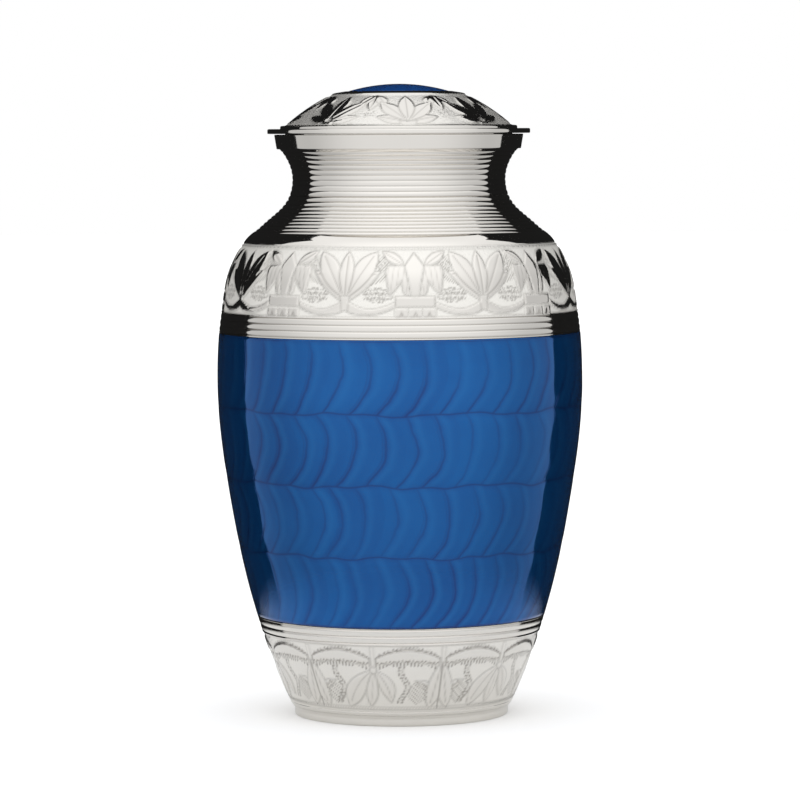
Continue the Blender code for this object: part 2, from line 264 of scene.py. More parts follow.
def rounded(corners: list[tuple[float, float, float]], support: float = 0.0002) -> list[tuple[float, float]]:
    """Rounds the corners of a line and keeps the faces beside them flat.

    Args:
        corners: (radius, height, rounding) of each corner, the rounding 0 at a plain point.
        support: distance from a rounding to the row that keeps the face beside it flat.

    Returns:
        The points of the rounded line.
    """
    points: list[tuple[float, float]] = []
    for i, (r, z, reach) in enumerate(corners):
        here = np.array((r, z))
        if reach == 0.0 or i in (0, len(corners) - 1):
            points.append((r, z))
            continue
        back = np.array(corners[i - 1][:2]) - here
        onward = np.array(corners[i + 1][:2]) - here
        back_length, onward_length = np.linalg.norm(back), np.linalg.norm(onward)
        back, onward = back / back_length, onward / onward_length
        if back_length > 2.2 * (reach + support):
            points.append(tuple(here + back * (reach + support)))
        for s in (0.0, 0.25, 0.5, 0.75, 1.0):
            bend = here + back * reach * (1 - s) ** 2 + onward * reach * s * s
            points.append(tuple(bend))
        if onward_length > 2.2 * (reach + support):
            points.append(tuple(here + onward * (reach + support)))
    return [(float(r), float(z)) for r, z in points]


class Turner:
    """Turns outlines about the Z axis with one Geometry Nodes tree and welds the turned runs together."""

    def __init__(self) -> None:
        """Builds the tree."""
        self.tree = self.build_tree()

    @staticmethod
    def build_tree() -> bpy.types.NodeTree:
        """Builds the tree: a grid of rows and segments, laid round the axis on the outline's points.

        Returns:
            The tree, with the inputs Outline, Segments and Finish.
        """
        tree = bpy.data.node_groups.new("turned_outline", "GeometryNodeTree")
        for name, way, kind in (("Outline", "INPUT", "Geometry"), ("Segments", "INPUT", "Int"),
                                ("Finish", "INPUT", "Material"), ("Turned", "OUTPUT", "Geometry")):
            tree.interface.new_socket(name, in_out=way, socket_type=f"NodeSocket{kind}")
        node = partial(add_node, tree)
        given = node("NodeGroupInput").outputs
        size = node("GeometryNodeAttributeDomainSize", {"component": "MESH"}, Geometry=given["Outline"])
        count = size.outputs["Point Count"]
        across = node(MATH, ADD, given["Segments"], 1.0)
        grid = node("GeometryNodeMeshGrid", Vertices_X=across, Vertices_Y=count)
        index = node("GeometryNodeInputIndex")
        row = node(MATH, MODULO, index, count)
        column = node(MATH, DIVIDE, node(MATH, SUBTRACT, index, row), count)
        turn = node(MATH, DIVIDE, column, given["Segments"])
        angle = node(MATH, MULTIPLY, turn, math.tau)
        place = node("GeometryNodeSampleIndex", {"data_type": "FLOAT_VECTOR", "domain": "POINT"},
                     Geometry=given["Outline"], Value=node("GeometryNodeInputPosition"), Index=row)
        radius, _, height = node(SPLIT, None, place).outputs
        x, y = (node(MATH, MULTIPLY, radius, node(MATH, {"operation": part}, angle))
                for part in ("COSINE", "SINE"))
        laid = node(JOIN, None, x, y, height)
        shape = node("GeometryNodeSetPosition", Geometry=grid, Position=laid)
        kept = [node("GeometryNodeInputNamedAttribute", {"data_type": "FLOAT"}, Name=name)
                for name in ("turn", "row")]
        for name, kind, domain, value in (("row", "FLOAT", "POINT", row), ("turn", "FLOAT", "POINT", turn),
                                          ("wrap", "FLOAT2", "CORNER", node(JOIN, None, *kept))):
            shape = node("GeometryNodeStoreNamedAttribute", {"data_type": kind, "domain": domain},
                         Geometry=shape, Name=name, Value=value)
        shape = node("GeometryNodeMergeByDistance", Geometry=shape, Distance=MM * MM)
        shape = node("GeometryNodeSetShadeSmooth", Geometry=shape)
        shape = node("GeometryNodeRealizeInstances", Geometry=shape)
        shape = node("GeometryNodeSetMaterial", Geometry=shape, Material=given["Finish"])
        node("NodeGroupOutput", Turned=shape)
        return tree

    def turn(self, outline: Outline, finish: bpy.types.Material) -> dict[str, np.ndarray]:
        """Turns one outline.

        Args:
            outline: rows of the run.
            finish: material of its faces.

        Returns:
            Arrays: points, rows, corners (vertex of each face corner), sizes (corners a face), wrap.
        """
        line = bpy.data.meshes.new("outline")
        edges = [(i, i + 1) for i in range(len(outline.points) - 1)]
        line.from_pydata([(r, 0.0, z) for r, z in outline.points], edges, [])
        holder = bpy.data.objects.new("outline", line)
        bpy.context.scene.collection.objects.link(holder)
        modifier = holder.modifiers.new("turn", "NODES")
        modifier.node_group = self.tree
        values = {"Segments": outline.segments, "Finish": finish}
        for item in self.tree.interface.items_tree:
            if item.in_out == "INPUT" and item.name in values:
                modifier[item.identifier] = values[item.name]
        graph = bpy.context.evaluated_depsgraph_get()
        mesh = bpy.data.meshes.new_from_object(holder.evaluated_get(graph))
        run = {
            "points": self.read(mesh.vertices, "co", 3).reshape(-1, 3),
            "rows": self.read(mesh.attributes["row"].data, "value", 1),
            "corners": self.read(mesh.loops, "vertex_index", 1, np.int32),
            "sizes": self.read(mesh.polygons, "loop_total", 1, np.int32),
            "wrap": self.read(mesh.attributes["wrap"].data, "vector", 2).reshape(-1, 2),
        }
        bpy.data.objects.remove(holder)
        bpy.data.meshes.remove(line)
        bpy.data.meshes.remove(mesh)
        return run

    @staticmethod
    def read(items: bpy.types.bpy_prop_collection, name: str, width: int,
             kind: type = np.float32) -> np.ndarray:
        """Reads one property of every item of a collection.

        Args:
            items: the collection.
            name: the property.
            width: numbers in it.
            kind: how Blender keeps it, np.float32 or np.int32.

        Returns:
            The numbers in one flat array.
        """
        values = np.zeros(len(items) * width, kind)
        items.foreach_get(name, values)
        return values.astype(np.float64 if kind is np.float32 else kind)

    @staticmethod
    def ring(run: dict[str, np.ndarray], row: int, start: int) -> np.ndarray:
        """Finds the vertices of one row in order round the axis.

        Args:
            run: a turned run.
            row: number of the row in it.
            start: number of the run's first vertex in the piece.

        Returns:
            The vertices, numbered as in the piece.
        """
        found = np.flatnonzero(np.round(run["rows"]) == row)
        angles = np.arctan2(run["points"][found, 1], run["points"][found, 0]) % math.tau
        angles[angles > math.tau - 1e-4] = 0.0
        return found[np.argsort(angles)] + start

    def weld(self, name: str, outlines: list[Outline], finish: bpy.types.Material,
             closed: bool = False) -> "Turned":
        """Turns runs with their own numbers of segments and joins each to the next with a strip of triangles.

        Args:
            name: name of the piece.
            outlines: the runs in order.
            finish: material of the piece.
            closed: whether the last row joins the first.

        Returns:
            The turned piece.
        """
        points, rows, faces, wraps = [], [], [], []
        rings, first_row, first_point = [], 0, 0
        for outline in outlines:
            run = self.turn(outline, finish)
            ends = np.cumsum(run["sizes"])
            faces += [c.tolist() for c in np.split(run["corners"] + first_point, ends[:-1])]
            wraps.append(run["wrap"] + (0.0, first_row))
            last = len(outline.points) - 1
            rings.append((self.ring(run, 0, first_point), self.ring(run, last, first_point), first_row))
            points.append(run["points"])
            rows.append(np.round(run["rows"]) + first_row)
            first_row += len(outline.points)
            first_point += len(run["points"])
        pairs = [(below[1], above[0], above[2] - 1, above[2]) for below, above in zip(rings, rings[1:])]
        if closed:
            pairs.append((rings[-1][1], rings[0][0], first_row - 1, 0))
        for lower, upper, lower_row, upper_row in pairs:
            strip, strip_wrap = self.strip(lower, upper, lower_row, upper_row)
            faces += strip
            wraps.append(strip_wrap)
        mesh = bpy.data.meshes.new(name)
        mesh.from_pydata(np.concatenate(points), [], faces)
        mesh.materials.append(finish)
        piece = bpy.data.objects.new(name, mesh)
        bpy.context.scene.collection.objects.link(piece)
        return Turned(piece, outlines, np.concatenate(rows).astype(int), np.concatenate(wraps))

    @staticmethod
    def strip(lower: np.ndarray, upper: np.ndarray, lower_row: int,
              upper_row: int) -> tuple[list, np.ndarray]:
        """Joins two rings whose counts divide each other.

        Args:
            lower: vertices of the ring below.
            upper: vertices of the ring above.
            lower_row: row number of the ring below.
            upper_row: row number of the ring above.

        Returns:
            The faces, and the turn and row of each of their corners.
        """
        few, many = (lower, upper) if len(lower) <= len(upper) else (upper, lower)
        few_row, many_row = (lower_row, upper_row) if few is lower else (upper_row, lower_row)
        ratio = len(many) // len(few)
        corners = []
        for i in range(len(few)):
            if ratio == 1:
                corners.append([(0, i), (0, i + 1), (1, i + 1), (1, i)])
                continue
            middle = i * ratio + (ratio + 1) // 2
            corners.append([(0, i), (0, i + 1), (1, middle)])
            corners += [[(0, i if j < middle else i + 1), (1, j + 1), (1, j)]
                        for j in range(i * ratio, (i + 1) * ratio)]
        rings, rows = (few, many), (few_row, many_row)
        faces, wrap = [], []
        for face in corners:
            ordered = face if few is lower else face[::-1]
            faces.append([int(rings[which][place % len(rings[which])]) for which, place in ordered])
            wrap += [(place / len(rings[which]), rows[which]) for which, place in ordered]
        return faces, np.array(wrap)


@dataclass
class Turned:
    """A turned piece whose vertices still know their rows."""

    piece: bpy.types.Object
    outlines: list[Outline]
    rows: np.ndarray
    wrap: np.ndarray

    def __post_init__(self) -> None:
        """Works out each row's place, direction, length along its zone and painted shade."""
        points = np.array([p for o in self.outlines for p in o.points])
        self.zone_of_row = np.array([z for o in self.outlines for z in o.zones])
        self.cut_of_row = np.array([c for o in self.outlines for c in o.cuts])
        run, rise = np.gradient(points[:, 0]), np.gradient(points[:, 1])
        length = np.hypot(run, rise) + 1e-12
        self.out_of_row = np.stack([rise / length, -run / length], axis=1)
        along = np.concatenate([[0.0], np.cumsum(np.hypot(*np.diff(points, axis=0).T))]) / MM
        self.along_of_row = along.copy()
        for zone in Zone:
            inside = np.flatnonzero(self.zone_of_row == zone)
            if len(inside):
                self.along_of_row[inside] = along[inside] - along[inside[0]]
        self.points = np.array([v.co for v in self.piece.data.vertices])
        self.angle = np.arctan2(self.points[:, 1], self.points[:, 0])
        size = len(self.rows)
        self.fields = {"polish": np.ones(size), "cut": self.cut_of_row[self.rows], "grain": np.zeros(size)}

    def place_in(self, zone: Zone) -> tuple[np.ndarray, np.ndarray, np.ndarray, np.ndarray]:
        """Finds the vertices of a zone.

        Args:
            zone: the zone.

        Returns:
            The vertices, and the angle, the radius (mm) and the length along the zone (mm) of each.
        """
        chosen = np.flatnonzero(self.zone_of_row[self.rows] == zone)
        radius = np.hypot(*self.points[chosen, :2].T) / MM
        return chosen, self.angle[chosen], radius, self.along_of_row[self.rows[chosen]]

    def push(self, chosen: np.ndarray, lift: np.ndarray) -> None:
        """Moves vertices square to the surface.

        Args:
            chosen: the vertices.
            lift: millimetres outwards for each.
        """
        out = self.out_of_row[self.rows[chosen]] * (lift * MM)[:, None]
        angle = self.angle[chosen]
        moved = [out[:, 0] * np.cos(angle), out[:, 0] * np.sin(angle), out[:, 1]]
        self.points[chosen] += np.stack(moved, axis=1)

    def press(self, chosen: np.ndarray, t: np.ndarray, work: "Engraving", depth: float, ground: float,
              border: float, line: float = 0.0) -> None:
        """Moves a band's vertices as its engraving says, and keeps the engraving's fields.

        Args:
            chosen: the band's vertices.
            t: place of each up the band.
            work: the band's engraving.
            depth: depth of its sunk ground, in metres.
            ground: how polished the ground is, 0 to 1.
            border: width of the plain border at each edge.
            line: how much painted shade a line beside the border gets, 0 for none.
        """
        edge = np.minimum(t, t.max() - t)
        plain = 1 - smooth(edge, border - 0.5, border)
        if line > 0.0:
            work.add_line(np.abs(edge - border), dark=line, width=0.3)
        self.push(chosen, (np.maximum(np.maximum(work.raised, plain), 0.0) - 1.0) * depth / MM)
        self.fields["polish"][chosen] = np.maximum(np.maximum(work.shine, plain), ground)
        self.fields["cut"][chosen] = work.cut * (1 - plain)
        self.fields["grain"][chosen] = work.grain

    def row_of_corner(self) -> np.ndarray:
        """Row of each face corner."""
        return np.round(self.wrap[:, 1]).astype(int)

    def length_wrap(self) -> np.ndarray:
        """UV of each face corner: turns round the piece, and millimetres along the zone."""
        return np.stack([self.wrap[:, 0], self.along_of_row[self.row_of_corner()]], axis=1)

    def finish(self, attributes: dict[str, np.ndarray], map_name: str, wrap: np.ndarray) -> bpy.types.Object:
        """Writes the moved points, attributes and UV map, then sets the piece's normals and smooth shading.

        Args:
            attributes: values for each vertex by name.
            map_name: name of the UV map.
            wrap: UV of each face corner.

        Returns:
            The finished piece.
        """
        mesh = self.piece.data
        mesh.vertices.foreach_set("co", self.points.ravel())
        layer = mesh.uv_layers.new(name=map_name)
        layer.data.foreach_set("uv", wrap.astype(np.float32).ravel())
        for name, values in attributes.items():
            made = mesh.attributes.new(name, "FLOAT", "POINT")
            made.data.foreach_set("value", values.astype(np.float32))
        work = bmesh.new()
        work.from_mesh(mesh)
        bmesh.ops.recalc_face_normals(work, faces=work.faces)
        work.to_mesh(mesh)
        work.free()
        mesh.shade_smooth()
        mesh.set_sharp_from_angle(angle=math.radians(50.0))
        mesh.update()
        return self.piece


@dataclass
class Engraving:
    """Leaves, ribbons and lines cut into a band, with painted shade in the cuts, as fields over the band's
    vertices in millimetres.
    """

    count: int

    def __post_init__(self) -> None:
        """Starts from bare sunk ground."""
        self.raised = np.zeros(self.count)
        self.shine = np.zeros(self.count)
        self.cut = np.zeros(self.count)
        self.grain = np.zeros(self.count)

    def add_form(self, distance: np.ndarray, height: float = 1.0, bevel: float = 0.7,
                 line: float = 0.55) -> None:
        """Raises a form from the ground and cuts a line round it, with painted shade in the line.

        Args:
            distance: distance to its edge, negative inside.
            height: how far it rises, as a share of the band's depth.
            bevel: width of its sloping edge.
            line: how much painted shade the line round it gets.
        """
        body = smooth(-distance, -bevel / 2, bevel / 2)
        covers = body > 0.5
        self.cut = np.where(covers, 0.0, self.cut)
        self.raised = np.maximum(self.raised, height * body)
        self.shine = np.maximum(self.shine, smooth(-distance, -0.1, 0.5))
        # Painted shade along the line round the form
        self.cut = np.maximum(self.cut, line * np.exp(-((distance - 0.25) / 0.42) ** 2))

    def add_line(self, distance: np.ndarray, where: np.ndarray | bool = True, depth: float = 0.35,
                 dark: float = 0.5, width: float = 0.4) -> None:
        """Cuts a thin line, with painted shade in it.

        Args:
            distance: distance to its middle.
            where: the vertices that it may reach.
            depth: how deep it goes, as a share of the band's depth.
            dark: how much painted shade it gets.
            width: half its width.
        """
        inside = np.exp(-(distance / width) ** 2) * where
        self.raised -= depth * inside
        # Painted shade in the line
        self.cut = np.maximum(self.cut, dark * inside)

    def add_hatch(self, across: np.ndarray, pitch: float, where: np.ndarray, depth: float, dark: float,
                  width: float) -> None:
        """Cuts thin lines side by side, with painted shade in them.

        Args:
            across: place across the lines.
            pitch: distance from one to the next.
            where: the vertices that they may reach.
            depth: how deep they go, as a share of the band's depth.
            dark: how much painted shade they get.
            width: half the width of one.
        """
        self.add_line(np.abs(across % pitch - pitch / 2), where, depth, dark, width)

    def add_grain(self, patch: np.ndarray) -> None:
        """Punches a patch of dots into the ground, 0 to 1."""
        self.grain = np.maximum(self.grain, patch)

    def add_oval(self, run: np.ndarray, rise: np.ndarray, reach: tuple[float, float], solid: float,
                 share: float = 1.0) -> None:
        """Punches an oval patch of dots.

        Args:
            run: place from the patch's middle round the band.
            rise: place from its middle up the band.
            reach: its half width and half height.
            solid: share of its reach within which the dots are at their strongest.
            share: that strength, 0 to 1.
        """
        self.add_grain(share * smooth(-np.hypot(run / reach[0], rise / reach[1]), -1.0, -solid))


def to_line(u: np.ndarray, t: np.ndarray, start: tuple[float, float], end: tuple[float, float]) -> np.ndarray:
    """Measures from a straight line.

    Args:
        u: place round the band.
        t: place up the band.
        start: one end of the line.
        end: its other end.

    Returns:
        The distance to it.
    """
    run, rise = end[0] - start[0], end[1] - start[1]
    s = np.clip(((u - start[0]) * run + (t - start[1]) * rise) / (run * run + rise * rise), 0.0, 1.0)
    return np.hypot(u - start[0] - s * run, t - start[1] - s * rise)


def to_polygon(u: np.ndarray, t: np.ndarray, corners: list[tuple[float, float]]) -> np.ndarray:
    """Measures from a closed outline.

    Args:
        u: place round the band.
        t: place up the band.
        corners: the outline's corners in order.

    Returns:
        The distance to it, negative inside.
    """
    best = np.full(u.shape, np.inf)
    inside = np.zeros(u.shape, bool)
    for start, end in zip(corners, corners[1:] + corners[:1]):
        best = np.minimum(best, to_line(u, t, start, end))
        rise = end[1] - start[1]
        if abs(rise) > 1e-9:
            crossing = start[0] + (t - start[1]) * (end[0] - start[0]) / rise
            inside ^= ((start[1] > t) != (end[1] > t)) & (u < crossing)
    return np.where(inside, -best, best)


@dataclass(frozen=True)
class Leaf:
    """A pointed leaf from its root to its tip."""

    root: tuple[float, float]
    tip: tuple[float, float]
    width: float
    waist: float = 0.5
    bend: float = 0.0
    # How much painted shade the midrib line gets
    rib: float = 0.45

    def carve(self, work: Engraving, u: np.ndarray, t: np.ndarray) -> None:
        """Cuts the leaf and its midrib.

        Args:
            work: the engraving to add to.
            u: place round the band.
            t: place up the band.
        """
        run, rise = self.tip[0] - self.root[0], self.tip[1] - self.root[1]
        length = math.hypot(run, rise)
        s = ((u - self.root[0]) * run + (t - self.root[1]) * rise) / length ** 2
        across = ((u - self.root[0]) * rise - (t - self.root[1]) * run) / length
        across = across - self.bend * 4 * s * (1 - s)
        span = np.where(s < self.waist, self.waist, 1 - self.waist)
        half = self.width / 2 * (1 - ((s - self.waist) / span) ** 2)
        beyond = (np.abs(s - 0.5) - 0.5) * length
        distance = np.where(beyond > 0, np.hypot(beyond, across), np.abs(across) - np.maximum(half, 0.0))
        work.add_form(distance)
        work.add_line(np.abs(across), (s > 0.06) & (s < 0.9), dark=self.rib, width=0.3)


def to_nearest(angle: np.ndarray, count: int, start: float) -> np.ndarray:
    """Measures from the nearest of a ring of motifs.

    Args:
        angle: angle round the axis.
        count: number of motifs, spread evenly.
        start: angle of one of them.

    Returns:
        The angle from the nearest one's middle.
    """
    step = math.tau / count
    return (angle - start + step / 2) % step - step / 2


def carve_lily(work: Engraving, u: np.ndarray, t: np.ndarray) -> None:
    """A lily on its foot: an upright kite, two wing leaves, two drooping petals, a bar and three blocks.

    Args:
        work: the engraving to add to.
        u: place round the band from the lily's middle.
        t: place up the band.
    """
    side = np.abs(u)
    Leaf((4.0, 21.4), (12.2, 27.7), 4.3, 0.55).carve(work, side, t)
    petal = [(2.1, 9.2), (3.6, 9.2), (4.6, 10.5), (5.4, 15.0), (8.0, 11.5), (10.1, 9.7), (10.9, 13.0),
             (11.6, 18.8), (10.6, 21.3), (3.9, 21.2)]
    work.add_form(to_polygon(side, t, petal))
    streaked = (side > 2.6) & (side < 11.2) & (t > 10.0) & (t < 20.8) & (work.shine > 0.6)
    work.add_hatch(side + 0.16 * t, 2.1, streaked, depth=0.1, dark=0.3, width=0.25)
    kite = [(0.0, 27.1), (3.75, 21.3), (1.45, 8.9), (-1.45, 8.9), (-3.75, 21.3)]
    work.add_form(to_polygon(u, t, kite), height=1.1)
    bar = [(-7.9, 8.5), (7.9, 8.5), (7.6, 4.6), (-7.6, 4.6)]
    work.add_form(to_polygon(u, t, bar))
    block = [(-2.6, 3.9), (2.6, 3.9), (2.6, 0.2), (-2.6, 0.2)]
    for middle in (-5.6, 0.0, 5.6):
        work.add_form(to_polygon(u - middle, t, block), line=0.35)
        work.add_line(to_polygon(u - middle, t, [(-0.8, 0.3), (0.8, 0.3), (0.0, 2.2)]), dark=0.6)


def carve_lotus(work: Engraving, u: np.ndarray, t: np.ndarray) -> None:
    """A lotus: a narrow middle leaf, two broad slanted leaves, two outer leaves and ribbons to each side.

    Args:
        work: the engraving to add to.
        u: place round the band from the lotus's middle.
        t: place up the band.
    """
    side = np.abs(u)
    Leaf((1.4, 7.0), (13.6, 18.8), 5.8, 0.55, bend=-1.6).carve(work, side, t)
    Leaf((1.0, 8.6), (11.4, 27.6), 7.8, 0.62).carve(work, side, t)
    Leaf((0.0, 8.0), (0.0, 27.6), 5.4, 0.6).carve(work, u, t)
    ribbon = 2.6 + 2.6 * ((side - 10.0) / 10.0) ** 2
    half = 1.0 + 0.8 * smooth(-side, -9.0, -2.0)
    work.add_form(np.where(side < 20.4, np.abs(t - ribbon) - half, 5.0), line=0.5)
    # A dotted border follows the outer leaf, whose edge runs 10.6 round the band and 19.2 up it
    run = ((side - 3.0) * 10.6 + (t - 8.0) * 19.2) / 21.9
    off = np.abs(((side - 3.0) * 19.2 - (t - 8.0) * 10.6) / 21.9 - 3.4)
    border = (run > 3.0) & (run < 20.0) & (work.shine < 0.4)
    work.add_line(np.hypot(off, run % 1.5 - 0.75), border, depth=0.25, dark=1.0, width=0.42)
    work.add_form(to_polygon(u, t, [(-1.5, 8.6), (1.5, 8.6), (1.1, 3.2), (-1.1, 3.2)]), line=0.35)
    ground = work.shine < 0.4
    near = np.hypot((side - 13.4) / 6.6, (t - 9.2) / 3.0) < 1.0
    sway = 0.9 * np.floor(t / 1.8) + 0.5 * np.sin(2.3 * t + 1.1 * side)
    across, up = (side + sway) % 1.8 - 0.9, t % 1.8 - 0.9
    work.add_line(np.abs(np.hypot(across, up) - 0.6), near & ground, depth=0.25, dark=0.8, width=0.26)
    beside = (side > 10.5) & (side < 17.5) & (t > 13.0 + 0.35 * (side - 10.5)) & (t < 26.5)
    work.add_hatch(side - 0.75 * t, 1.25, beside & ground, depth=0.2, dark=0.85, width=0.25)
    work.add_oval(side - 13.5, t - 9.5, (6.5, 3.4), 0.6)
    work.add_oval(side - 13.6, t - 22.0, (2.6, 4.2), 0.5)
    work.add_oval(side - 10.0, t - 0.4, (9.5, 1.3), 0.4, share=0.8)


def carve_stem(work: Engraving, u: np.ndarray, t: np.ndarray, spread: float) -> None:
    """Two leaves that arch away from a stem, with fringed lower edges.

    Args:
        work: the engraving to add to.
        u: place round the band from the stem.
        t: place up the band.
        spread: distance to halfway between two stems.
    """
    side = np.abs(u)
    away = spread - side
    top = 28.0 - 4.6 * (away / spread) ** 2
    under = 23.2 - 1.6 * (away / spread) ** 2 + 0.5 * np.sin(side * math.tau / 1.7)
    work.add_form(np.maximum(np.maximum(t - top, under - t), 1.4 - side), line=1.0)
    above = (t > top + 0.2) & (t < top + 1.5) & (side > 2.0)
    work.add_hatch(side + 0.3 * t, 1.4, above, depth=0.2, dark=1.0, width=0.3)
    curl = np.abs(away * np.sign(u) - 1.4 - 1.5 * np.sin(0.42 * t))
    low = (t > 4.0) & (t < 21.5) & (side > spread / 2)
    work.add_line(np.abs(curl - 1.0), low, depth=0.2, dark=1.0, width=0.28)
    work.add_hatch(t + 0.4 * u, 1.5, low & (curl < 1.0), depth=0.2, dark=0.9, width=0.28)
    fringe = (t > under - 2.2) & (t < under) & (side > 2.5)
    work.add_hatch(side + 0.25 * t + 0.4, 1.5, fringe, depth=0.2, dark=1.0, width=0.32)
    work.add_grain(0.9 * smooth(-np.abs(t - under + 1.5), -1.6, -0.6) * (side > 2.0))
    work.add_form(to_line(u, t, (0.0, 18.0), (0.0, 29.0)) - 0.7, line=0.3)


def carve_bud(work: Engraving, u: np.ndarray, t: np.ndarray) -> None:
    """A hanging bud of three petals.

    Args:
        work: the engraving to add to.
        u: place round the band from the bud's middle.
        t: place up the band.
    """
    Leaf((-0.8, 19.0), (-11.2, 2.0), 7.6, 0.62, bend=1.6).carve(work, u, t)
    Leaf((0.8, 19.0), (6.4, 4.6), 5.4, 0.55, bend=-1.4).carve(work, u, t)
    Leaf((0.0, 18.4), (-2.0, 2.6), 4.4, 0.6, rib=0.3).carve(work, u, t)
    work.add_form(np.hypot(u, t - 19.2) - 1.3)
    work.add_oval(u + 4.0, t - 2.2, (8.0, 2.0), 0.3)


def carve_petals(work: Engraving, u: np.ndarray, t: np.ndarray) -> None:
    """A tall pair of petals on a stem, with small leaves at their foot.

    Args:
        work: the engraving to add to.
        u: place round the band from the stem.
        t: place up the band.
    """
    side = np.abs(u)
    Leaf((2.6, 8.6), (10.2, 14.2), 2.8, 0.5, bend=-0.8).carve(work, side, t)
    Leaf((0.4, 22.5), (3.6, 1.6), 6.0, 0.62).carve(work, side, t)
    work.add_line(side, (t > 1.0) & (t < 22.0), dark=0.8, width=0.35)
    beside = np.hypot((side - 9.0) / 4.2, (t - 8.6) / 5.4) < 1.0
    work.add_hatch(u + 0.9 * t, 1.7, beside, depth=0.15, dark=0.9, width=0.3)
    work.add_oval(side - 8.0, t - 3.2, (5.0, 2.6), 0.3)


def carve_dome_flower(work: Engraving, u: np.ndarray, t: np.ndarray) -> None:
    """A flower of five leaves on the lid's dome.

    Args:
        work: the engraving to add to.
        u: place round the dome from the flower's middle.
        t: place up the dome.
    """
    side = np.abs(u)
    Leaf((0.8, 2.4), (12.4, 5.6), 4.8, 0.5).carve(work, side, t)
    Leaf((0.6, 3.0), (10.2, 15.6), 6.8, 0.6).carve(work, side, t)
    Leaf((0.0, 3.4), (0.0, 21.0), 6.2, 0.55).carve(work, u, t)
    work.add_form(to_polygon(u, t, [(-3.4, 2.4), (3.4, 2.4), (2.2, 0.6), (-2.2, 0.6)]), line=0.4)


def carve_dome_sprig(work: Engraving, u: np.ndarray, t: np.ndarray) -> None:
    """A small sprig between two flowers of the dome, hanging from its upper edge.

    Args:
        work: the engraving to add to.
        u: place round the dome from the sprig's middle.
        t: place up the dome.
    """
    Leaf((0.0, 21.8), (0.0, 10.4), 4.4, 0.55).carve(work, u, t)
    Leaf((0.5, 21.6), (5.6, 13.6), 4.2, 0.5).carve(work, np.abs(u), t)
    work.add_oval(u, t - 8.4, (5.5, 4.0), 0.4)


